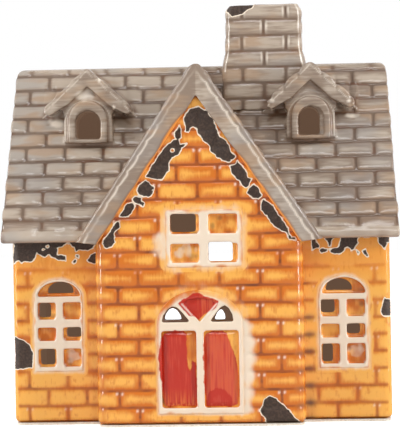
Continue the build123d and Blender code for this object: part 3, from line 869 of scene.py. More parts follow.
RIGHT_SCARS = [
    [(47.4, 76.5), (48.8, 77.3), (49, 75.7), (50.3, 74.3), (50.3, 73.5), (48.7, 73.7), (47.5, 72.6),
     (47.6, 74.1)],
    [(50.6, 72.6), (51.9, 73), (53.8, 72.3), (53.5, 71.7), (51.3, 71.5), (50.5, 72)],
    [(51.8, 81), (53, 77.2), (54.1, 75.6), (54.2, 74), (55.1, 74), (55.4, 75.6), (55.7, 76.7), (56.8, 77.7),
     (58.4, 78), (59.5, 77.7), (59.4, 76.1), (58.3, 73.4), (54.8, 72.6), (55.1, 71.3), (58.3, 70.7),
     (59.6, 71), (60.7, 72), (61, 73.1), (62.1, 73.7), (63.4, 72.8), (63.7, 72), (65.3, 72.7), (65.8, 74.3),
     (66.7, 75.4), (65.9, 77.3), (66.4, 77.8), (71.2, 77.7), (73.9, 78.2), (75.2, 77.1), (75.5, 75.3),
     (77.8, 72.3), (78.7, 75.2), (84, 76), (84, 81)],
    [(66.1, 72.2), (67.1, 71.1), (66.6, 70.3)],
    [(68.6, 71.7), (69.8, 72.4), (70.8, 69.4), (70, 69.4)],
    [(77.4, 51.9), (75.7, 46.1), (76.7, 44.5), (84, 43.9), (84, 51.1), (78.4, 51.1)],
]
# Patches where the orange stands inside a scar: across, up and radius, or their outline
GABLE_ISLANDS = [
    (-10.1, 115.1, 1.1),
    (-18.6, 98.6, 0.5),
]
WING_ISLANDS = [
    (-66.7, 74.6, 0.8),
    (-64.6, 75.7, 0.9),
    [(-61, 75.3), (-58.3, 75.9), (-56.2, 77.5), (-54.7, 76.5), (-53.2, 74.7), (-52.7, 72.7), (-55.1, 70.7),
     (-56.9, 71.6), (-60.2, 72.9)],
]
# Outlines of the red paint on the left leaf, the right leaf and the fan
RED_PAINT = [
    [(-15.2, 38.5), (-13, 39.7), (-10.2, 40.4), (-6.8, 39.6), (-5.7, 38.5), (-5.6, 33.4), (-5.5, 28.4),
     (-5.1, 24.5), (-4.4, 23.4), (-3.8, 24.8), (-3.7, 27.8), (-2.2, 26.5), (-1.5, 19.6), (-1.4, 8.5),
     (-14.3, 8.5), (-15.2, 9.6), (-16.1, 15.9), (-17.1, 23.4), (-17.4, 28.4), (-16.8, 33.4), (-16.1, 37.2)],
    [(1.9, 37.2), (2.8, 38.8), (5, 39.8), (9.3, 39.8), (11.2, 38.7), (11.9, 36.6), (13.1, 33.4),
     (14.3, 29.7), (15.3, 24.7), (15.8, 19.7), (15.8, 13.4), (15.4, 9), (12, 8.2), (2.1, 8.5), (1.4, 20),
     (1.2, 33)],
    [(-0.5, 44.4), (-2.6, 46.2), (-4.3, 46.2), (-6.8, 48.6), (-8.7, 51.4), (-7.4, 52.9), (-4.3, 54.1),
     (-2.6, 55.4), (-0.9, 55.9), (0.6, 55.4), (1.9, 54.4), (5.9, 53.4), (8.1, 52.3), (7.5, 50.5),
     (5.6, 48.4), (3.6, 47.4), (1.9, 46.4)],
]
# The fan's three openings, and the holes in its two side panes
FAN_LIGHTS = [
    [(-15.9, 43.6), (-15.2, 46.4), (-13.4, 49), (-11.4, 50.2), (-9.4, 49.8), (-7.4, 47.8), (-3.9, 43.6)],
    [(4.2, 43.6), (6.8, 47.2), (8.8, 49.6), (10.6, 50.4), (12.2, 49.2), (13.6, 46.6), (14.1, 43.6)],
    [(0, 43.6), (6.9, 51.5), (5, 53), (0, 53.6), (-5, 53), (-6.9, 51.5)],
]
FAN_HOLES = [
    [(-14.9, 44.6), (-14.2, 47), (-12.7, 48.9), (-11.2, 49.4), (-9.6, 48.6), (-8.2, 46.6), (-7.6, 44.6)],
    [(5.9, 44.4), (10.6, 44.4), (10.5, 46.4), (9.5, 48.4), (8.6, 48.7), (7.3, 47.3)],
]


def scars(points: Values, outlines: list, islands: Sequence = ()) -> Values:
    """Measures how deep each point lies in the scars, less their islands.

    Args:
        points: one row of across and up for each.
        outlines: the scars' edges.
        islands: what stands inside them.

    Returns:
        One depth for each point, below 0 outside.
    """
    shifts = [lumps(np.c_[points, points[:, axis]], 1.3, 50 + axis) for axis in (0, 1)]
    ragged = points + 0.35 * np.stack(shifts, axis=1)
    depth = inside_any(ragged, outlines)
    for island in islands:
        if isinstance(island, list):
            depth = np.minimum(depth, -inwards(ragged, island))
        else:
            x, z, radius = island
            depth = np.minimum(depth, np.hypot(ragged[:, 0] - x, ragged[:, 1] - z) - radius)
    return depth


@dataclass
class Walls:
    """The brick walls: the gabled bay, the two wings with their side walls, and the back."""

    fine: float = 0.5
    coarse: float = 0.58
    blank: float = 150.0
    courses: Courses = field(default_factory=lambda: Courses(8.1, 7.2, 16.3))
    bay_courses: Courses = field(default_factory=lambda: Courses(8.1, 7.2, 16.9, seed=5))
    side_brick: float = 16.73
    corner: float = 5.7
    arch_half: float = 36.0
    arch_top: float = 78.0
    arch_round: float = 20.0

    def tuck(self, clay: Clay, height: Values, face: Values) -> None:
        """Rounds the foot of a wall in towards the table."""
        clay.push(-0.8 * (1 - ease(height, 1.0, 3.8)) ** 2 * face)

    def bay(self, material: Finish, windows: "Windows", door: "Door") -> None:
        """Builds the bay: its gabled front and both cheeks, with soft corners.

        Args:
            material: the brick glaze.
            windows: whose gable window is let in.
            door: which is let in.
        """
        half, front, wall = PLAN.bay_half, PLAN.bay_front, PLAN.wall
        left = arc((self.corner - half, front + wall), (self.corner, wall), 180, 270, 8)
        right = arc((half - self.corner, front + wall), (self.corner, wall), 270, 360, 8)
        rear, inner = PLAN.front + 1.5, half - wall
        plan = [(-half, rear), *left, *right, (half, rear), (inner, rear), (inner, front + wall),
                (-inner, front + wall), (-inner, rear)]
        piece = BENCH.prism(plan, "z", PLAN.foot, self.blank)
        BENCH.keep(piece, PLAN.under_gable(half + 1, 1.2), "y", front - 2, rear + 2)
        for part in (windows.gable, door):
            BENCH.cut(piece, part.outline(-1.2), "y", front - 2, front + wall + 2)
        clay = BENCH.weld(piece, self.fine)
        x, y, z = clay.axes()
        run, flat, bricks = np.abs(x), clay.view(), self.bay_courses
        face = np.maximum(ease(-y, -front - 3.2, -front - 1.5), ease(run, half - 1.6, half - 0.4))
        window, opening = inwards(flat, windows.gable.outline()), inwards(flat, door.outline())
        jamb = ease(opening, -2.2, 1.2) * (1 - 0.6 * ease(z, 44, 50))
        frames = np.maximum(ease(window, -3.6, 1.0), jamb)
        # Cream that was brushed past the frames, in strokes that follow the courses
        way = 0.8 * np.sin((z - 4.5) * math.tau / bricks.pitch)
        beside_door = [(17, 5), (20.6, 7), (21.4, 20), (22.6, 30), (21, 41), (17, 47)]
        under_window = [(-20, 73), (-14, 68), (-12, 64.5), (-6, 63.6), (-8, 70), (-12, 80), (-13, 84),
                        (-18.5, 81)]
        spill = np.maximum(ease(inwards(flat, beside_door) + way, -3.6, 2.6),
                           0.75 * ease(inwards(flat, under_window) + 0.6 * way, -2.4, 3.4))
        crown = ease(inwards(flat, arched(0.6, 21, 30, 43, 60.5)), -3.5, 2.5) * ease(z, 36, 46) * 0.3
        hem = ease(window + 1.3 * clay.noise(5, 66), -4.4, 1.4) * 0.5
        jamb = jamb * (0.85 + 0.15 * np.clip(x / 5, -1, 1))
        clay.paint["cream"] = np.maximum.reduce([hem, jamb, np.maximum(spill, crown) * 0.85]) * face
        phase = np.where(run > half - 2.9, half + (y - front), run) / bricks.length
        soft = ease(run, half - 5.6, half - 3.6) * ease(-y, -front - 6, -front - 4)
        close = np.maximum(ease(window, -4.5, -1), ease(opening, -3.6, -1))
        where = face * (1 - 0.9 * ease(frames, 0.1, 0.6)) * (1 - 0.55 * close) * (1 - 0.65 * soft)
        clay.lay(bricks, phase, where, z, 0.4, 0.28)
        clay.paint["tone"] += (1.6 * close - 0.5) * face
        self.tuck(clay, z, face)
        clay.chip(np.where(y < front + 3.5, scars(flat, GABLE_SCARS, GABLE_ISLANDS), -3.0))
        # Painted shade, with pooled glaze, down the valley where the bay meets each wing: along the courses
        # low on the right, faint on the left
        mark = bricks.marks(z, 1.3)
        shade = np.where(x > 0, 0.55 * mark * ease(-z, -52, -40), 0.12 + 0.2 * mark)
        clay.paint["stain_and_shade"] = hump(run - 41.8, 2.2) * ease(-z, -84, -74) * shade
        # The inside painted dark as shade
        clay.paint["inside"] = ease(y, front + wall - 1.2, front + wall - 0.5) * (run < half - wall + 0.4)
        BENCH.finish(clay, "bay_walls", "house", "brick_glaze", material,
                     "bay_front_wall", "bay_left_cheek", "bay_right_cheek")

    def wing(self, side: int, material: Finish, windows: "Windows") -> None:
        """Builds one wing: its front, its side wall and the corner at the back.

        Args:
            side: -1 for the left, 1 for the right.
            material: the brick glaze.
            windows: whose wing window is let in.
        """
        wide, wall, front, back = PLAN.half_width, PLAN.wall, PLAN.front, PLAN.back
        outer = [*arc((wide - 3, front + 3), (3, 3), -90, 0, 6), *arc((wide - 3, back - 3), (3, 3), 0, 90, 6)]
        start, end, inner = PLAN.bay_half - 3, 70, wide - wall
        plan = [(start, front), *outer, (end, back), (end, back - wall), (inner, back - wall),
                (inner, front + wall), (start, front + wall)]
        piece = BENCH.prism([(side * x, y) for x, y in plan], "z", PLAN.foot, self.blank)
        BENCH.keep(piece, PLAN.under_roof(1.2), "x", -90, 90)
        frame_of = windows.wings[side].outline
        BENCH.cut(piece, frame_of(-1.2), "y", front - 2, front + wall + 2)
        clay = BENCH.weld(piece, self.coarse)
        x, y, z = clay.axes()
        run, flat, length = np.abs(x), clay.view(), self.courses.length
        front_face = ease(-y, -front - 3, -front - 1.4)
        face = np.max([front_face, ease(run, wide - 2, wide - 0.8), ease(y, back - 2, back - 0.8)], axis=0)
        window = inwards(flat, frame_of())
        cream = ease(window, -2.4, 1.0) * front_face
        clay.paint["cream"] = cream * 0.62
        on_side = (run > wide - 1.4) & (y > front + 1.2) & (y < back - 1.2)
        phase = np.where(on_side, wide / length + (y - front) / self.side_brick, run / length)
        close = ease(window, -7, -2) * front_face
        edge = ease(run, wide - 3.2, wide - 0.8) * ease(-y, -front - 7, -front - 3)
        where = face * (1 - 0.9 * ease(cream, 0.05, 0.5)) * (1 - 0.7 * ease(z, 62, 68) * front_face)
        where = where * (1 - 0.6 * close) * (1 - 0.85 * edge)
        clay.lay(self.courses, phase, where * (1 - 0.35 * front_face), z, 0.36, 0.22)
        clay.paint["tone"] += (1.2 if side < 0 else 1.7) * front_face * (1 - 0.3 * ease(z, 50, 64))
        clay.paint["amber"] = 0.55 * front_face * ease(z + 2 * clay.noise(9, 31), 54, 68)
        self.tuck(clay, z, face)
        depth = scars(flat, LEFT_SCARS if side < 0 else RIGHT_SCARS, WING_ISLANDS)
        depth = depth - 3.5 * ease(y, front + 2.2, front + 4.2)
        clay.chip(np.where(y < front + 4.2, depth, -3.0))
        # Painted shade, with pooled glaze, down the valley beside the bay: along the courses and towards the
        # foot on the right, faint on the left
        mark = self.courses.marks(z, 1.4)
        dark = 0.75 * mark * ease(-z, -56, -40) + 0.25 * ease(-z, -22, -8)
        clay.paint["stain_and_shade"] = hump(run - 45.6, 2.4) * front_face * np.where(x > 0, dark, 0.12 + 0.1 * mark)
        # The inside painted dark as shade
        within = (run < inner + 0.6) & (y > front + wall - 0.6) & (y < back - wall + 0.6)
        clay.paint["inside"] = within.astype(float)
        word = WORDS[side]
        BENCH.finish(clay, f"{word}_wing", "house", "brick_glaze", material,
                     f"{word}_front_wall", f"{word}_side_wall")

    def arch(self) -> list[Point]:
        """Lists the outline of the access arch at the back.

        Returns:
            The corners, in order.
        """
        half, top, turn, foot = self.arch_half, self.arch_top, self.arch_round, 5.5
        right = arc((half - turn, top - turn), (turn, turn), 0, 90, 10)
        left = arc((turn - half, top - turn), (turn, turn), 90, 180, 10)
        return [(half, foot), *right, *left, (-half, foot)]

    def rear(self, material: Finish) -> None:
        """Builds the back wall with its arch.

        Args:
            material: the brick glaze.
        """
        back, wall = PLAN.back, PLAN.wall
        piece = BENCH.prism(rounded((-72, back - wall), (72, back), 0.4, 2), "z", PLAN.foot, self.blank)
        BENCH.keep(piece, PLAN.under_roof(1.2), "x", -90, 90)
        BENCH.cut(piece, self.arch(), "y", back - wall - 2, back + 2)
        clay = BENCH.weld(piece, self.coarse, 4)
        x, y, z = clay.axes()
        face = ease(y, back - 2, back - 0.8)
        rim = -inwards(clay.view(), self.arch())
        clay.paint["cream"] = face * ease(-rim, -1.1, -0.3) * 0.75
        clay.lay(self.courses, np.abs(x) / self.courses.length, face * ease(rim, 0.6, 2.2), z, 0.42, 0.22)
        # The inside face painted dark as shade
        clay.paint["inside"] = ease(-y, wall - back - 0.7, wall - back - 0.2) * ease(rim, -0.1, 0.4)
        BENCH.finish(clay, "back_wall_bricks", "house", "brick_glaze", material, "back_wall")


@dataclass
class Window:
    """One moulded window: an outline, its panes, and which of them are pierced."""

    name: str
    node: str
    left: float
    right: float
    sill: float
    top: float
    front: float
    panes: list[Box]
    holes: list[Box]
    pale: int
    fade: float = 1.5
    spring: float = 0.0
    lunette: Box = (0.0, 0.0, 0.0, 0.0)
    lunette_hole: tuple[float, float, float] = (0.0, 0.0, 0.0)

    def outline(self, grow: float = 0.0) -> list[Point]:
        """Lists the frame's outline, grown by that much.

        Args:
            grow: how far it is grown.

        Returns:
            The corners, in order.
        """
        if not self.spring:
            return rounded((self.left - grow, self.sill - grow), (self.right + grow, self.top + grow), 1.6)
        centre, half = (self.left + self.right) / 2, (self.right - self.left) / 2 + grow
        return arched(centre, half, self.sill - grow, self.spring, self.top + grow)

    def press(self) -> Clay:
        """Presses the panes into the frame, pierces some of them and gives the clay.

        Returns:
            The clay, not yet painted.
        """
        start, sunk, rear = self.front - 1.22, self.front + 1.9, self.front + 6.2
        piece = BENCH.prism(self.outline(-0.2), "y", self.front - 0.22, self.front + 5.2)
        for x0, x1, z0, z1 in self.panes:
            BENCH.cut(piece, rounded((x0, z0), (x1, z1), 0.5), "y", start, sunk)
        for x0, x1, z0, z1 in self.holes:
            BENCH.cut(piece, rounded((x0 - 0.25, z0 - 0.2), (x1 + 0.25, z1 + 0.2), 1.0), "y", start, rear)
        if self.spring:
            centre, half, foot, crown = self.lunette
            BENCH.cut(piece, arc((centre, foot), (half, crown - foot), 0, 180, 18), "y", start, sunk)
            middle, wide, tall = self.lunette_hole
            hole = [(middle + wide, foot + 1.3), *arc((middle, foot + 2.2), (wide, tall), 8, 172, 14),
                    (middle - wide, foot + 1.3)]
            BENCH.cut(piece, hole, "y", start, rear)
        return BENCH.weld(piece, 0.36, 6)

    def build(self, material: Finish) -> None:
        """Builds the window: uneven cream rims, one paler pane, raised beads painted as highlights in the
        panes' lower corners, and the holes painted dark as shade.

        Args:
            material: the cream glaze.
        """
        clay = self.press()
        x, y, z = clay.axes()
        sunk = ease(y, self.front + 0.1, self.front + 0.8)
        rim = inwards(clay.view(), self.outline(-0.2)) + 0.8 * clay.noise(3.2, 65)
        x0, x1, z0, z1 = self.panes[self.pale]
        pale = np.hypot((x - (x0 + x1) / 2) / (x1 - x0), (z - (z0 + 0.62 * (z1 - z0))) / (z1 - z0))
        pale = pale + 0.2 * clay.noise(1.7, 64)
        clay.over("cream", (1 - sunk) * (0.3 + 0.7 * ease(rim, -0.5, self.fade)),
                  0.5 * sunk * ease(-pale, -0.55, -0.2))
        clay.paint["tone"] = clay.noise(2.6, 60) * 1.6 - 0.4
        clay.paint["gap"] = 2.4 + 1.6 * clay.noise(3.4, 61)
        clay.paint["stain_and_shade"] = sunk * 0.5 * ease(clay.noise(3.1, 62), 0.25, 0.8)
        # The holes' deep walls painted dark as shade
        clay.paint["inside"] = ease(y, self.front + 3.2, self.front + 3.9)
        # Painted highlights on small raised beads in the panes' lower corners
        spots = np.full(clay.count, 9.0)
        for x0, x1, z0, _ in self.panes:
            for corner in (x0 + 0.1, x1 - 0.1):
                spots = np.minimum(spots, np.hypot(x - corner, (z - (z0 + 0.3)) * 0.7))
        painted_highlight = hump(spots, 0.5) * (y < self.front + 2.2)
        clay.paint["painted_highlight"] = painted_highlight
        clay.push(painted_highlight * 0.25 + 0.06 * clay.noise(3, 63) * (1 - clay.paint["inside"]))
        BENCH.finish(clay, self.name, "house", "cream_glaze", material, self.node)


@dataclass
class Windows:
    """The three windows of the front."""

    gable: Window = field(default_factory=lambda: Window(
        "gable_window", "gable_window_frame", -14.0, 18.6, 66.0, 90.7, PLAN.bay_front,
        [(-11.7, 0.35, 80.3, 88.4), (4.25, 16.3, 80.3, 88.4),
         (-11.7, 0.35, 68.3, 76.1), (4.25, 16.3, 68.3, 76.1)],
        [(-11.4, -1.3, 81.3, 88.4), (4.3, 13.9, 68.9, 76.6)], pale=2, fade=2.5))
    wings: dict[int, Window] = field(default_factory=dict)

    def __post_init__(self) -> None:
        """Makes the wing windows."""
        # Each hole: the row, which pane, and the shares of the pane that it takes
        self.wing(-1, (-71.2, -49.9), [(-69.35, -61.7), (-58.5, -50.9)],
                  [(44.8, 51.9), (35.7, 41.3), (24.7, 32.3)],
                  [(0, 0, 0.08, 0.66, 0.16, 0.95), (1, 1, 0.18, 0.95, 0.3, 0.98),
                   (2, 0, 0.12, 0.86, 0.14, 0.95)], 0.5, 0.6)
        self.wing(1, (49.4, 70.7), [(50.5, 58.2), (61.3, 69.0)],
                  [(44.4, 51.5), (35.5, 41.2), (24.5, 32.9)],
                  [(0, 0, 0.04, 0.74, 0.26, 0.97), (1, 1, 0.05, 0.7, 0.3, 0.98),
                   (2, 0, 0.1, 0.6, 0.12, 0.96)], -1.9, 0.2)

    def wing(self, side: int, ends: Point, spans: list[Point], rows: list[Point], pierced: list[tuple],
             shift: float, rise: float) -> None:
        """Makes one wing window.

        Args:
            side: -1 for the left, 1 for the right.
            ends: where its frame begins and ends across the wing.
            spans: the left and right end of each pane in a row.
            rows: the foot and head of each row of panes.
            pierced: the holes.
            shift: how far the hole in the lunette is to the right of its middle.
            rise: how far the lunette's foot is raised.
        """
        holes = []
        for row, pane, a, b, c, d in pierced:
            (x0, x1), (z0, z1) = spans[pane], rows[row]
            wide, tall = x1 - x0, z1 - z0
            holes.append((x0 + a * wide, x0 + b * wide, z0 + c * tall, z0 + d * tall))
        centre = side * 60.2
        self.wings[side] = Window(
            f"{WORDS[side]}_window", f"{WORDS[side]}_window_frame", *ends, 22.4, 62.2, PLAN.front,
            [(*span, *row) for row in rows for span in spans], holes, pale=5, spring=53.6,
            lunette=(centre, 9.1, 53.9 + rise, 60.8), lunette_hole=(centre + shift, 5.5, 4.0))


@dataclass
class Door:
    """The double door: its cream surround with the fan bars, two red leaves and the red fan panel."""

    half: float = 17.8
    foot: float = 5.4
    spring: float = 42.5
    crown: float = 57.0
    sill: float = 7.9
    lintel: float = 40.0
    leaf_half: float = 16.15
    fan_angle: float = math.radians(41.0)
    mullion: float = 1.55

    def outline(self, grow: float = 0.0) -> list[Point]:
        """Lists the surround's outline, grown by that much."""
        return arched(0, self.half + grow, self.foot - grow, self.spring, self.crown + grow, 28)

    def paint(self, clay: Clay, sunk: Values) -> None:
        """Paints the red, the orange that it leaves, the cream, painted highlights along the fan bars, and
        the inside painted dark as shade.

        Args:
            clay: the piece.
            sunk: how far each vertex lies in an opening, from 0 to 1.
        """
        x, y, z = clay.axes()
        front, flat = PLAN.bay_front, clay.view()
        red = inside_any(flat + 0.3 * np.c_[clay.noise(2, 70), clay.noise(2, 71)], RED_PAINT)
        clay.paint["red"] = np.where(y < front + 3.4, red, -3.0)
        # The red is paler on the right leaf, with a darker ring low on it, and thin at the left one's foot
        blob = np.hypot((x - 7.5) / 5.2, (z - 9) / 6.6) + 0.12 * clay.noise(1.6, 75)
        ring = (hump(blob - 0.88, 0.13) + 0.35 * (blob < 0.88)) * (z < 17) * (x > 0)
        half = np.clip(x / 1.2, -1, 1)
        rubbed = ease(-z, -17, -9) * 0.9 * (x < 0) + 0.5 * ease(x, 12, 16)
        clay.paint["thin"] = rubbed + 0.15 + 0.15 * half - ring
        clay.paint["tone"] = 0.2 + 1.2 * half + clay.noise(6, 74) - 5 * ring - 1.2 * (z > 42)
        # Painted highlights: pale lines along both edges of each fan bar
        sine, cosine = math.sin(self.fan_angle), math.cos(self.fan_angle)
        along = np.abs(x) * sine + (z - 41.6) * cosine
        off = np.abs(x) * cosine - (z - 41.6) * sine
        lines = hump(np.abs(off) - 0.75, 0.24) * ease(along, 4.8, 6.0) * ease(-along, -12.6, -11.8)
        clay.paint["painted_highlight"] = lines * (y < front + 1) * (z > 43)
        rim = inwards(flat, self.outline())
        head = (1 - ease(rim, 1.6, 3.8)) * ease(z, 44, 50)
        low = 0.54 + 0.12 * np.clip(x / 5, -1, 1)
        uneven = rim + 0.6 * clay.noise(3.2, 76)
        clay.paint["cream"] = (1 - sunk) * (low + (1 - low) * ease(uneven, -0.2, 1.9)) * (1 - 0.6 * head)
        clay.paint["gap"] = 2.6 + 1.2 * clay.noise(3, 72)
        # The deep openings painted dark as shade
        clay.paint["inside"] = ease(y, front + 3.9, front + 4.6)
        red = clay.paint["red"]
        brushed = 0.07 * lumps(clay.points * (1, 1, 0.25), 1.6, 73)
        clay.push(0.18 * ease(red, -0.3, 0.3) + brushed * ease(red, 0, 0.5))

    def surround(self, material: Finish) -> None:
        """Builds the cream surround with its bars.

        Args:
            material: the cream glaze.
        """
        face = PLAN.bay_front
        front, rear = face - 0.5, face + 5.2
        piece = BENCH.prism(self.outline(), "y", front, rear)
        for side in (-1, 1):
            low, high = sorted((side * self.mullion, side * self.leaf_half))
            leaf = rounded((low, self.sill), (high, self.lintel), 1.2)
            BENCH.cut(piece, leaf, "y", front - 1, rear + 1)
        for light in FAN_LIGHTS:
            BENCH.cut(piece, light, "y", front - 1, rear + 1)
        pane = ((17, 42), (17, 50), (12.5, 52.5), (8, 51.5), (3.2, 46), (2.6, 42))
        for side, hole in zip((-1, 1), FAN_HOLES):
            back = BENCH.prism([(side * a, b) for a, b in pane], "y", face + 2.2, rear)
            BENCH.add(piece, BENCH.cut(back, hole, "y", face, rear + 2))
        clay = BENCH.weld(piece, 0.34, 5)
        x, y, z = clay.axes()
        sunk = ease(y, face + 0.2, face + 0.9)
        self.paint(clay, sunk)
        # Painted shade in the fan's sunk side panes
        clay.paint["stain_and_shade"] = sunk * ease(z, 41, 42.5) * 0.95 * (np.abs(x) > 3.5)
        BENCH.finish(clay, "door_surround", "house", "cream_glaze", material, "door_frame")

    def leaf(self, side: int, material: Finish) -> None:
        """Builds one leaf, domed and brushed.

        Args:
            side: -1 for the left, 1 for the right.
            material: the red glaze.
        """
        front = PLAN.bay_front + 0.9
        low, high = sorted((side * (self.mullion - 0.5), side * (self.leaf_half + 0.5)))
        outline = rounded((low, self.sill - 0.5), (high, self.lintel + 0.5), 1.0)
        clay = BENCH.weld(BENCH.prism(outline, "y", front, PLAN.bay_front + 5.0), 0.36, 2)
        x, y, z = clay.axes()
        facing = ease(-y, -front - 1.2, -front - 0.3)
        dome = ease(inwards(clay.view(), outline), 0.4, 3.2)
        clay.points[:, 1] -= facing * (0.75 * dome - 0.45)
        self.paint(clay, np.ones(clay.count))
        dot = np.hypot(x - 10.3, z - 11.7) if side > 0 else np.hypot(x + 14.8, (z - 11.2) * 0.7)
        clay.paint["stain_and_shade"] = facing * (1 - ease(dot, 0.4, 1.2 if side > 0 else 2.2))
        word = WORDS[side]
        BENCH.finish(clay, f"{word}_door", "house", "red_glaze", material, f"door_leaf_{word}")

    def fan(self, material: Finish) -> None:
        """Builds the red panel between the fan bars.

        Args:
            material: the red glaze.
        """
        front, foot, length = PLAN.bay_front + 0.5, 42.4, 15.5
        wide, high = math.sin(self.fan_angle) * length, foot + math.cos(self.fan_angle) * length
        wedge = [(0, foot), (wide, high), (0, 58), (-wide, high)]
        piece = BENCH.prism(wedge, "y", front, PLAN.bay_front + 5.0)
        BENCH.keep(piece, arc((0, self.spring - 1.5), (15.9, 13.4), 0, 180, 28), "y", front - 1, front + 9)
        clay = BENCH.weld(piece, 0.3, 2)
        self.paint(clay, np.ones(clay.count))
        BENCH.finish(clay, "fan_panel", "house", "red_glaze", material, "fanlight_panel")


@dataclass
class Roofs:
    """The roofs: two front slopes with their dormers, the back slope, the gable roof and the chimney."""

    verge: float = 83.8
    verge_top: float = 81.8
    ridge: float = 154.0
    eaves_y: float = 38.5
    eaves_z: float = 79.2
    roll: float = 3.0
    dormer_x: float = 48.0
    dormer_pitch: float = 0.9325
    apexes: dict[int, float] = field(default_factory=lambda: {-1: 151.8, 1: 152.8})
    board_front: float = -45.25
    board_inner: float = 137.87
    board_reach: float = 50.9
    board_foot: float = 77.5
    stack: Box = (11.6, 45.0, -10.25, 17.75)
    stack_top: float = 179.0
    stack_side_brick: float = 22.9
    courses: Courses = field(default_factory=lambda: Courses(86.6, 6.38, 16.65, 0.5, seed=11))
    stack_courses: Courses = field(default_factory=lambda: Courses(172.4, 6.88, 18.8, 0.0, seed=21))
    # Painted white reflections beside each dormer: across, up, half-width and half-height
    painted_shines: dict[int, list[Box]] = field(default_factory=lambda: {
        -1: [(-49.2, 140.3, 3.8, 2.5), (-63.0, 129.2, 3.1, 2.3),
             (-42.5, 147.5, 0.9, 2.2), (-36.5, 134.8, 0.8, 1.0)],
        1: [(65.8, 129.8, 2.9, 1.4), (31.6, 136.6, 1.2, 1.0), (64.2, 135.6, 1.2, 0.6)]})

    def section(self, side: int) -> list[Point]:
        """Lists the side view of one slope, from just over the ridge down to the rolled eaves.

        Args:
            side: -1 for the front slope, 1 for the back.

        Returns:
            The outline, y and z.
        """
        pitch, mid, over, inset = PLAN.pitch, PLAN.ridge_y, 2.2, self.eaves_y - 4.6
        roll = arc((0, 0), (self.roll, self.roll), math.degrees(math.atan(1 / pitch)), -100, 10)
        outer = [(mid + side * (self.eaves_y + a), self.eaves_z + (b if b > 0 else 0.62 * b))
                 for a, b in roll]
        crown = [(mid + side * a, self.ridge - b) for a, b in ((-over, 0.9), (0, 0), (over, 0.9))]
        foot = mid + side * inset
        return [*crown, *outer, (foot, self.eaves_z - 0.62 * self.roll + 0.2),
                (foot, PLAN.ridge_inner - pitch * inset), (mid + side * 0.6, PLAN.ridge_inner - 0.8),
                (mid - side * over, PLAN.ridge_inner - pitch * over)]

    def front_view(self, left: float, right: float) -> list[Point]:
        """Lists the front view of a slope between two places, with drafted verges and round corners.

        Args:
            left: where it begins across.
            right: where it ends.

        Returns:
            The corners, in order.
        """
        head, radii, low, high = self.ridge - 4.2, (4.6, 4.4), 70, 160
        right_end, left_end = [(right, high)], [(left, high)]
        if right == self.verge:
            right_end = [(right, 79), *arc((self.verge_top - 4.6, head), radii, 8, 90, 8)]
        if left == -self.verge:
            left_end = [*arc((4.6 - self.verge_top, head), radii, 90, 172, 8), (left, 79)]
        return [(left, low), (right, low), *right_end, *left_end]

    def dormer(self, side: int) -> list[Solid]:
        """Builds the solids of one dormer: its front, its two lumpy slopes and the arched trim.

        Args:
            side: -1 for the left, 1 for the right.

        Returns:
            The solids, to be welded with the slope.
        """
        mid, pitch, apex = side * self.dormer_x, self.dormer_pitch, self.apexes[side]
        body = BENCH.prism(arched(mid, 10.5, 120.4, 129.0, 140.4), "y", -18.4, -2)
        brow = [(mid - 11, 133), (mid + 11, 133), (mid + 11, 137.5), (mid, 147), (mid - 11, 137.5)]
        BENCH.combine(body, "UNION", brow, "y", -17.7, -2)
        # Each corner: how far out it lies, how far out its level is taken, and how far it stands off that
        corners = [(0, 0, 0), (1.6, 0, -1.0), (17.4, 17.4, 1.2), (18.5, 18.5, 0.4), (18.5, 18.5, -1.8),
                   (16.6, 17.4, -3.6), (9, 9, -7.2), (0, 0, -7.4)]
        parts = [body]
        for hand in (-1, 1):
            outline = [(mid + hand * out, apex - pitch * run + off) for out, run, off in corners]
            parts.append(BENCH.prism(outline, "y", -20.4, 1.0))
        ring = BENCH.prism(arched(mid, 8.3, 119.9, 129.4, 138.2), "y", -20.6, -17.5)
        parts.append(BENCH.cut(ring, arched(mid, 5.5, 121.4, 128.8, 134.0), "y", -22, -16))
        return parts

    def slope(self, side: int, material: Finish) -> None:
        """Builds the left or right half of the front slope with its dormer, as one welded skin.

        Args:
            side: -1 for the left, 1 for the right.
            material: the roof glaze.
        """
        left, right = (-self.verge, 1.0) if side < 0 else (-1.0, self.verge)
        piece = BENCH.prism(self.section(-1), "x", left, right)
        BENCH.keep(piece, self.front_view(left, right), "y", -60, 20)
        BENCH.cut(piece, [(-40, 60), (40, 60), (0, 143)], "y", -60, 20)
        mid, (x0, x1, y0, _) = side * self.dormer_x, self.stack
        hole = arched(mid - (0.0 if side < 0 else 0.8), 5.3 if side < 0 else 4.5, 121.6, 128.8, 133.8)
        parts = self.dormer(side)
        for part in (piece, *parts):
            if side > 0:
                BENCH.cut(part, rounded((x0 + 2, y0 + 2), (x1 - 2, 16), 1), "z", 100, 170)
            BENCH.cut(part, hole, "y", -25, 1.5)
        inner = [(-14, 116), (-14, 122), (-8, 139), (3.75, 139.5), (3.75, 132), (-6, 116)]
        BENCH.cut(parts[0], inner, "x", mid - 6.5, mid + 6.5)
        BENCH.add(piece, *parts)
        clay = BENCH.weld(piece, 0.56)
        self.dress_slope(clay, -1)
        self.dress_dormer(clay, side)
        word = WORDS[side]
        BENCH.finish(clay, f"{word}_roof", "house", "roof_glaze", material,
                     f"roof_front_{word}", f"{word}_dormer", f"{word}_dormer_roof", f"{word}_dormer_trim")

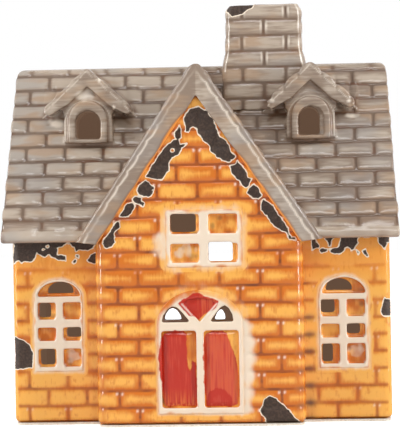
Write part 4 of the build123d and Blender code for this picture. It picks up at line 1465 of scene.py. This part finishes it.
    def dress_slope(self, clay: Clay, way: int) -> None:
        """Presses the bricks into a main slope and paints it.

        Args:
            clay: the piece.
            way: -1 for the front slope, 1 for the back.
        """
        x, y, z = clay.axes()
        run, reach, front = np.abs(x), (y - PLAN.ridge_y) * way, way < 0
        off = z - (PLAN.ridge_outer - PLAN.pitch * np.abs(reach))
        draft = (self.ridge - z) * 0.027
        verge = 0.4 * ease(run, self.verge_top - 1.9 + draft, self.verge_top - 0.9 + draft)
        outer = np.maximum(ease(off, -3.0, -1.2) * ease(reach, -3, 0), verge)
        bare = ease(z, 81.5, 84) * (1 - 0.7 * ease(z, 150.5, 152.5))
        on_dormer = (np.abs(run - self.dormer_x) < 22) & (off > 1.3) & front
        clay.lay(self.courses, x / self.courses.length, np.where(on_dormer, 0.0, outer * bare), z, 0.45)
        clay.push((0.25 * clay.noise(9, 80) + 0.12 * clay.noise(3.5, 81)) * outer)
        # The roof's underside painted dark as shade
        clay.paint["inside"] = ease(-off, 8.82, 10.29) * (z > 84) * (run < self.verge - 4)
        roll = 1 - ease(z, 79.5, 82.5)
        # Painted light and shade: paler high on the left slope, darker on the right
        painted_side_light = 0.8 * (x < 0) * ease(z, 98, 120) * ~on_dormer - 0.5 * (x > 0)
        clay.paint["tone"] += 0.8 * roll + front * painted_side_light
        valley = (z - PLAN.gable_outer + PLAN.gable_pitch * run) / math.hypot(1, PLAN.gable_pitch)
        valley = ease(-valley - 0.8 * clay.noise(5, 89), -4.6, -0.4) * front * ease(z, 82, 92)
        # Brown blotches on the roll and slope, with painted shade under the eaves and along the gable's
        # valley, stronger on the right
        clay.over("stain_and_shade", 0.5 * roll * ease(clay.noise(7, 82), 0.0, 0.6), 0.55 * ease(-z, -78.6, -76.8),
                  0.3 * outer * ease(clay.noise(16, 83), 0.35, 0.9), np.where(x > 0, 0.5, 0.3) * valley)

    def dress_dormer(self, clay: Clay, side: int) -> None:
        """Shapes and paints the dormer: stepped lumps, a light painted dark as shade, painted shade in its
        hollows, and painted highlights and reflections.

        Args:
            clay: the piece.
            side: -1 for the left, 1 for the right.
        """
        x, y, z = clay.axes()
        run = np.abs(x - side * self.dormer_x)
        above = z - (self.apexes[side] - self.dormer_pitch * run)
        crust = ease(y, -24, -20) * ease(-y, -1.0, 4.0) * ease(above, -3.6, -1.2) * (run < 20.6) * (z > 131)
        step = (run * 1.367 + (1.5 if side > 0 else 4.0)) / 8.4
        lump = np.sqrt(np.clip(1 - (2 * (step - np.floor(step)) - 1) ** 2, 0, 1))
        height = 1.15 if side > 0 else 0.6
        clay.push(crust * (height * (lump - 0.55) + 0.15 * clay.noise(4, 84)))
        light = inwards(np.c_[x, z], arched(side * self.dormer_x, 5.3, 121.4, 128.8, 133.8))
        # The light's inside painted dark as shade
        clay.over("inside", ease(light, -0.9, -0.3) * ease(y, -17.3, -16.3) * (y < 2))
        # Painted shade in brown round the trim, under the eaves, along the sill, over the crust and at its
        # ends
        clay.over("stain_and_shade", 0.45 * hump(light + 3.4, 0.8) * (y > -19.6) * (y < -17.6) * (z > 118),
                  0.55 * hump(above + 7.2, 1.3) * (run < 19) * (y > -19.8) * (z > 128) * (z < 147),
                  0.6 * hump(z - 119.4, 0.9) * (run < 10.5) * (y < -12),
                  0.5 * hump(above - 1.6, 1.1) * (run < 20) * (y > -19),
                  0.8 * hump(np.hypot(run - 19.4, above - 0.2), 1.7))
        near = (run < 20) * (y < -15) * ease(z, 117.5, 120) * ease(1.5 - above, 0, 1)
        gap = clay.paint["gap"]
        clay.paint["gap"] = np.where(near > 0, np.minimum(gap, 1.9 + 0.9 * clay.noise(5, 86)), gap)
        # Painted white reflections beside the dormer
        for left, middle, wide, tall in self.painted_shines[side]:
            spot = np.hypot((x - left) / wide, (z - middle) / tall) + 0.3 * clay.noise(1.8, 87)
            clay.over("painted_highlight", 1.1 * (1 - ease(spot, 0.3, 1.25)) * (y < -8))
        # Painted highlights along the lumps' crests and round the inside of the trim
        crest = crust * hump(above + 1.2 + 0.5 * clay.noise(3, 88), 0.28) * (lump > 0.55)
        inner = hump(light + 4.6, 0.22) * (y < -17) * (z > 121) * (run < 11)
        clay.over("painted_highlight", 0.65 * crest, 0.5 * inner)

    def rear(self, material: Finish) -> None:
        """Builds the back slope.

        Args:
            material: the roof glaze.
        """
        x0, x1, _, y1 = self.stack
        piece = BENCH.prism(self.section(1), "x", -self.verge, self.verge)
        BENCH.keep(piece, self.front_view(-self.verge, self.verge), "y", -20, 60)
        BENCH.cut(piece, rounded((x0 + 2, -5), (x1 - 2, y1 - 2), 1), "z", 100, 170)
        clay = BENCH.weld(piece, 0.64)
        self.dress_slope(clay, 1)
        BENCH.finish(clay, "back_roof", "house", "roof_glaze", material, "roof_back")

    def gable(self, material: Finish) -> None:
        """Builds the gable roof with its broad boards, its edge stepped course by course.

        Args:
            material: the roof glaze.
        """
        pitch, top, front = PLAN.gable_pitch, PLAN.gable_outer, self.board_front
        reach, foot, inner = self.board_reach, self.board_foot, self.board_inner
        start = top - pitch * 3.4
        crown = [(-3.4, start), *arc((0, top - 6.4), (3.3, 3.3), 145, 35, 8), (3.4, start)]
        brink = top - pitch * reach
        under = inner - pitch * 45.2 + 9
        outline = [*crown, (reach, brink), (reach + 0.4, foot + 0.6), (reach - 3, foot), (46.0, foot),
                   (45.2, under), (0, PLAN.gable_inner), (-45.2, under), (-46.0, foot), (3 - reach, foot),
                   (-reach - 0.4, foot + 0.6), (-reach, brink)]
        board = [*crown, (reach, brink), (reach + 0.8, foot), (42.3, foot - 1.2), (0, inner),
                 (-42.3, foot - 1.2), (-reach - 0.8, foot), (-reach, brink)]
        piece = BENCH.prism(outline, "y", front + 0.6, 3.0)
        BENCH.add(piece, BENCH.prism(board, "y", front, PLAN.bay_front + 1.2))
        clay = BENCH.weld(piece, 0.55, 4)
        axes = clay.axes()
        deep, pillow = self.step_gable(clay)
        self.paint_gable(clay, axes, deep, pillow)
        BENCH.finish(clay, "gable_roof", "house", "roof_glaze", material,
                     "gable_roof_left", "gable_roof_right", "bargeboard_left", "bargeboard_right")

    def step_gable(self, clay: Clay) -> tuple[Values, Values]:
        """Shapes the gable roof: a lump for each course along its edge, a round nose and bricks behind.

        Args:
            clay: the piece.

        Returns:
            How deep each vertex lies under the slope, and how high its lump stands, from 0 to 1.
        """
        x, y, z = clay.axes()
        pitch, top, front, nose_radius = PLAN.gable_pitch, PLAN.gable_outer, self.board_front, 2.2
        cosine, hand = 1 / math.hypot(1, pitch), np.sign(x)
        deep = (top - pitch * np.abs(x) - z) * cosine
        skin = ease(-deep, -1.6, -0.4)
        wavy = z + 0.9 * hand + 0.5 * lumps(clay.points * (1, 0, 1), 9, 90)
        level = (wavy - self.courses.first) / self.courses.pitch
        step = level - np.floor(level)
        varied = 0.75 + 0.25 * lumps(clay.points * (0, 0, 1), 6, 91)
        pillow = np.clip(1 - (2 * step - 1) ** 4, 0, 1) * varied
        way = np.stack([hand * pitch, np.zeros(clay.count), np.ones(clay.count)], axis=1) * cosine
        points = clay.points + way * (skin * (0.85 * pillow - 0.45))[:, None]
        up = nose_radius - (top - pitch * np.abs(points[:, 0]) - points[:, 2]) * cosine
        ahead = nose_radius - (points[:, 1] - front)
        far = np.hypot(np.maximum(up, 0), np.maximum(ahead, 0))
        past = (up > 0) & (ahead > 0) & (far > nose_radius)
        draw = np.where(past, 1 - nose_radius / np.maximum(far, 1e-6), 0)
        clay.points = points - way * (up * draw)[:, None]
        clay.points[:, 1] += ahead * draw
        slopes = skin * ease(y, front + 2.2, front + 4.0) * ease(z, 82, 85)
        clay.lay(self.courses, (y - front) / self.courses.length + 0.3, slopes, z + 0.9 * hand, 0.35)
        clay.push(0.16 * clay.noise(7, 92) * (y < 0))
        return deep, pillow

    def paint_gable(self, clay: Clay, axes: tuple[Values, ...], deep: Values, pillow: Values) -> None:
        """Paints the gable roof: amber under a dark line on the boards, a painted glint on each lump with
        painted shade beyond it, and the underside painted dark as shade.

        Args:
            clay: the piece.
            axes: where its vertices were before they were shaped.
            deep: how deep each lies under the slope.
            pillow: how high its lump stands.
        """
        x, y, z = axes
        front = PLAN.bay_front
        face = (y < front + 1.3) & (z > 74)
        edge = np.where(x < 0, 8.1 + 1.9 * ease(z, 124, 138), 10 - 2.4 * ease(-z, -142, -95))
        low = deep + 0.5 * clay.noise(6, 93)
        amber = ease(low, edge - 0.4, edge + 0.5) * face
        clay.paint["amber"] = amber
        blot = 0.3 * face * ease(clay.noise(10, 95), 0.1, 0.8) * (1 - amber)
        clay.paint["stain_and_shade"] = 0.75 * hump(low - edge, 0.55) * face + blot
        scallop = 2.5 + 0.7 * pillow + 0.25 * clay.noise(2.5, 98)
        # A painted glint along each lump
        clay.over("painted_highlight", 0.8 * hump(deep - scallop, 0.42) * face * ease(clay.noise(14, 99), -0.9, -0.3))
        clay.paint["tone"] += np.where(x > 0, -0.2, -1.1) * face + 0.7 * clay.noise(12, 94)
        # Painted shade on the rounded edge beyond the glint
        clay.paint["tone"] -= 2.0 * (1 - ease(deep, scallop - 1.1, scallop - 0.4)) * (y < front + 3)
        mottled = 1.9 + 0.7 * clay.noise(5, 96) + 0.5 * clay.noise(1.8, 97)
        clay.paint["gap"] = np.where(face, mottled, clay.paint["gap"])
        # The underside painted dark as shade
        clay.paint["inside"] = ease(deep, 4.2, 4.9) * ease(y, front + 1.4, front + 2.4) * (np.abs(x) < 46)

    def chimney(self, material: Finish) -> None:
        """Builds the chimney with its open flue, flared foot and chipped rim.

        Args:
            material: the roof glaze.
        """
        (x0, x1, y0, y1), top = self.stack, self.stack_top
        mid_x, mid_y, high = (x0 + x1) / 2, (y0 + y1) / 2, 190
        piece = BENCH.prism(rounded((x0, y0), (x1, y1), 3.4, 6), "z", 118, top)
        BENCH.cut(piece, rounded((mid_x - 10, mid_y - 7), (mid_x + 10, mid_y + 7), 2), "z", 100, high)
        saddle = [(y0 - 5, high), (y0 - 5, 128), (PLAN.ridge_y, 147), (y1 + 5, 128), (y1 + 5, high)]
        BENCH.keep(piece, saddle, "x", 0, 60)
        clay = BENCH.weld(piece, 0.5, 5)
        x, y, z = clay.axes()
        run, hand, flat = np.abs(x - mid_x), np.sign(x - mid_x), clay.view()
        side_in = np.maximum(run - 10.6, np.abs(y - mid_y) - 7.6)
        face = ease(side_in, 1.0, 3.0) * (1 - ease(z, top - 1.8, top - 0.4))
        face = face * (1 - 0.75 * ease(run, 13.9, 15.6) * ease(-y, 5.5, 8.5))
        on_side = run > (x1 - x0) / 2 - 1.2
        phase = np.where(on_side, 0.888 + (y - y0) / self.stack_side_brick,
                         (x - mid_x) / self.stack_courses.length)
        clay.lay(self.stack_courses, phase + 0.5, face, z, 0.38, 0.3, (3.0, 0.2))
        clay.paint["joint"] *= 0.8
        # Painted shade over the right dormer's roof, and where its end meets the chimney
        over = z - (self.apexes[1] - self.dormer_pitch * np.abs(x - self.dormer_x))
        shade = (1 - ease(over, 0.5, 3.2)) * (x > 26) * (x < 46) * (z > 130)
        crease_shade = hump(np.hypot((x - 28.6) / 2.0, (z - 137.0) / 3.6), 1.0)
        clay.paint["stain_and_shade"] = np.maximum(0.75 * shade, 0.9 * crease_shade) * (y < 0)
        clay.push(0.2 * clay.noise(8, 100))
        flare = 1.8 * (1 - ease(z, 150, 163)) ** 1.5 * ease(side_in, 2, 4)
        tuck = 1.5 * ease(z, top - 4.5, top) ** 2 * ease(side_in, 3, 6)
        clay.points[:, 0] += hand * flare * (run > 14)
        clay.points[:, 0] -= hand * tuck * (run > 12)
        nick = [(11, 179.6), (12.2, 176.4), (13.3, 175.7), (14.8, 174.1), (17.7, 174.7), (19.3, 175.1),
                (21.3, 176.8), (23.5, 177.6), (24.6, 179.6)]
        clay.chip(np.where(y < y0 + 5, np.maximum(inwards(flat, nick), -3), -3.0), 0.3)
        # Painted highlights in strips near the chimney's front corners
        strip = hump(run - 15.2, 0.3) * (y < y0 + 2.5) * (z > 150)
        clay.over("painted_highlight", 0.6 * strip * ease(clay.noise(6, 101), -0.4, 0.3))
        clay.paint["gap"] = np.minimum(clay.paint["gap"], 2.2 + 0.9 * clay.noise(6, 102))
        # The flue's inside painted dark as shade
        clay.paint["inside"] = 1 - ease(side_in, -0.2, 0.6)
        BENCH.finish(clay, "chimney_bricks", "house", "roof_glaze", material, "chimney_stack")


@dataclass
class Tealight:
    """The candle that the house holds: a pressed metal cup, its wax, and the wick in its sustainer."""

    centre: Point = (0.0, 3.75)
    radius: float = 19.2
    foot: float = 5.6
    top: float = 20.1
    sheet: float = 0.32

    def cup(self, material: Finish) -> None:
        """Builds the pressed cup with its rolled rim.

        Args:
            material: the metal.
        """
        r, top, low = self.radius, self.top, self.foot
        base = low + 0.5
        outline = [(0, base), (12, base), (12.6, low), (r - 1.6, low), (r - 0.9, base), (r - 0.6, low + 1.4),
                   (r - 0.5, top - 1), (r, top - 0.8), (r, top - 0.2), (r - 0.4, top), (r - 0.9, top - 0.2),
                   (r - 0.94, low + 1.6), (r - 1.4, low + 0.49), (12.8, low + 0.45), (12, base + self.sheet),
                   (0, base + self.sheet)]
        piece = BENCH.turned(outline, self.centre, 96)
        BENCH.finish(piece, "cup", "tealight", "cup_metal", material, "tealight_cup")

    def wax(self, material: Finish) -> None:
        """Builds the wax with its meniscus.

        Args:
            material: the wax.
        """
        r, low, high = self.radius - 0.96, self.foot + 0.52, 17.6
        outline = [(0, low + 0.5), (12, low + 0.5), (12.6, low), (r - 0.9, low), (r - 0.2, low + 0.8),
                   (r - 0.02, low + 2), (r - 0.02, high - 0.1), (r - 0.25, high), (r - 1.1, high - 0.45),
                   (r - 3.5, high - 0.75), (5, high - 0.8), (1.6, high - 0.55), (0, high - 0.4)]
        piece = BENCH.turned(outline, self.centre, 96)
        BENCH.finish(piece, "wax", "candle", "wax", material, "tealight_wax")

    def sustainer(self, material: Finish) -> None:
        """Builds the disc and neck that hold the wick.

        Args:
            material: the metal.
        """
        low = 6.2
        outline = [(0, low), (5.7, low), (6, low + 0.2), (5.8, low + 0.45), (2, low + 0.5), (1.5, low + 0.9),
                   (1.35, low + 3.1), (1.1, low + 3.4), (0, low + 3.4)]
        piece = BENCH.turned(outline, self.centre, 48)
        BENCH.finish(piece, "sustainer", "candle", "cup_metal", material, "wick_sustainer")

    def wick(self, material: Finish) -> None:
        """Builds the plaited wick, whose upper end leans over.

        Args:
            material: the cotton.
        """
        plait = [(0.6 + 0.08 * (turn % 2), 7.5 + 0.42 * turn) for turn in range(39)]
        outline = [(0, 6.9), (0.6, 7.0), *plait, (0.5, 24.1), (0.25, 24.5), (0, 24.55)]
        piece = BENCH.turned(outline, self.centre, 24)
        for vertex in piece.data.vertices:
            bend = max(vertex.co.z - 15, 0)
            vertex.co.x += 0.0012 * bend * bend
        BENCH.finish(piece, "wick_plait", "candle", "wick_cotton", material, "wick")


@dataclass
class Studio:
    """A white sweep, a white sky, soft boxes, and the camera where the photographer's was."""

    eye: Vector = field(default_factory=lambda: Vector((35.71, -742.39, 88.02)))
    turn: float = math.radians(2.848)
    roll: float = math.radians(1.014)
    lens: float = 141.1
    sensor: float = 36.0
    sky: float = 0.45
    floor_radius: float = 3.0
    white: float = 0.8

    def camera(self) -> None:
        """Sets up the level camera, a little to the right and slightly rolled."""
        bpy.ops.object.camera_add()
        eye = bpy.context.object
        right = Vector((math.cos(self.turn), math.sin(self.turn), 0))
        ahead = Vector((-math.sin(self.turn), math.cos(self.turn), 0))
        up = Vector((0, 0, 1))
        tilted_up = up * math.cos(self.roll) + right * math.sin(self.roll)
        tilted_right = right * math.cos(self.roll) - up * math.sin(self.roll)
        turn = Matrix((tilted_right, tilted_up, -ahead)).transposed().to_4x4()
        eye.matrix_world = Matrix.Translation(self.eye * MM) @ turn
        eye.data.lens, eye.data.sensor_width = self.lens, self.sensor
        eye.data.clip_start, eye.data.clip_end = 0.01, 20
        bpy.context.scene.camera = eye

    def lamp(self, name: str, place: tuple[float, float, float], size: Point, power: float) -> None:
        """Hangs a soft box that faces the house.

        Args:
            name: its name.
            place: where, in metres.
            size: its width and height in metres.
            power: in watts.
        """
        bpy.ops.object.light_add(type="AREA", location=place)
        lamp = bpy.context.object
        lamp.name = name
        lamp.data.shape, lamp.data.size, lamp.data.size_y = "RECTANGLE", *size
        lamp.data.energy = power
        lamp.rotation_euler = (Vector((0, 0, 0.08)) - Vector(place)).to_track_quat("-Z", "Y").to_euler()

    def world(self) -> None:
        """Makes the sky: white where it is seen or mirrored from behind, plain grey light elsewhere."""
        recipe = Recipe("studio_white", "worlds", "ShaderNodeOutputWorld")
        camera, through, mirrored = (recipe.node("ShaderNodeLightPath", {}, {}, f"Is {kind} Ray")
                                     for kind in ("Camera", "Transmission", "Glossy"))
        place = recipe.node("ShaderNodeTexCoord", {}, {}, "Generated")
        depth = recipe.node("ShaderNodeSeparateXYZ", {}, {0: place}, "Y")
        behind = recipe.node("ShaderNodeMapRange", {}, {"Value": depth, "From Min": -0.35, "From Max": 0.25})
        plain, white = (recipe.node("ShaderNodeBackground", {}, {"Color": (1, 1, 1, 1), "Strength": strength})
                        for strength in (self.sky, 1.0))
        shown = camera.most(through).most(behind * mirrored)
        bpy.context.scene.world = recipe.close("ShaderNodeMixShader", {0: shown, 1: plain, 2: white})

    def floor(self) -> None:
        """Lays the white floor, which keeps the house's shadow."""
        bpy.ops.mesh.primitive_circle_add(vertices=96, radius=self.floor_radius, fill_type="NGON")
        piece = bpy.context.object
        piece.name = "studio_floor"
        recipe = Recipe("floor_white")
        seen = recipe.node("ShaderNodeLightPath", {}, {}, "Is Camera Ray")
        matt = recipe.node("ShaderNodeBsdfDiffuse", {}, {"Color": (self.white,) * 3 + (1,)})
        glow = recipe.node("ShaderNodeEmission", {}, {"Color": (1, 1, 1, 1), "Strength": seen * self.white})
        piece.data.materials.append(recipe.close("ShaderNodeAddShader", {0: matt, 1: glow}))

    def build(self) -> None:
        """Sets up everything round the house."""
        self.camera()
        self.world()
        self.floor()
        self.lamp("softbox_left", (-0.95, -0.35, 0.4), (0.14, 0.9), 7.0)
        self.lamp("softbox_right", (0.95, -0.35, 0.4), (0.14, 0.9), 7.0)
        self.lamp("softbox_front", (0.1, -0.9, 0.9), (0.6, 0.3), 3.0)
        bpy.context.scene.view_settings.view_transform = "Standard"


def main() -> None:
    """Builds the studio, the house and its candle."""
    logging.basicConfig(level=logging.INFO, format="%(message)s")
    bpy.ops.object.select_all(action="DESELECT")
    Studio().build()
    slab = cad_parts["base_slab"]
    slab.data.materials.clear()
    slab.data.materials.append(BARE_CLAY.material())
    brick, cream, red, roof, metal = (finish.material() for finish in (
        BRICK_GLAZE, CREAM_GLAZE, RED_GLAZE, ROOF_GLAZE, CUP_METAL))
    windows, door, walls, roofs, candle = Windows(), Door(), Walls(), Roofs(), Tealight()
    walls.bay(brick, windows, door)
    for side in (-1, 1):
        walls.wing(side, brick, windows)
        windows.wings[side].build(cream)
        door.leaf(side, red)
        roofs.slope(side, roof)
    walls.rear(brick)
    windows.gable.build(cream)
    door.surround(cream)
    door.fan(red)
    roofs.rear(roof)
    roofs.gable(roof)
    roofs.chimney(roof)
    candle.cup(metal)
    candle.wax(WAX.material())
    candle.sustainer(metal)
    candle.wick(WICK_COTTON.material())


if __name__ == "__main__":
    main()
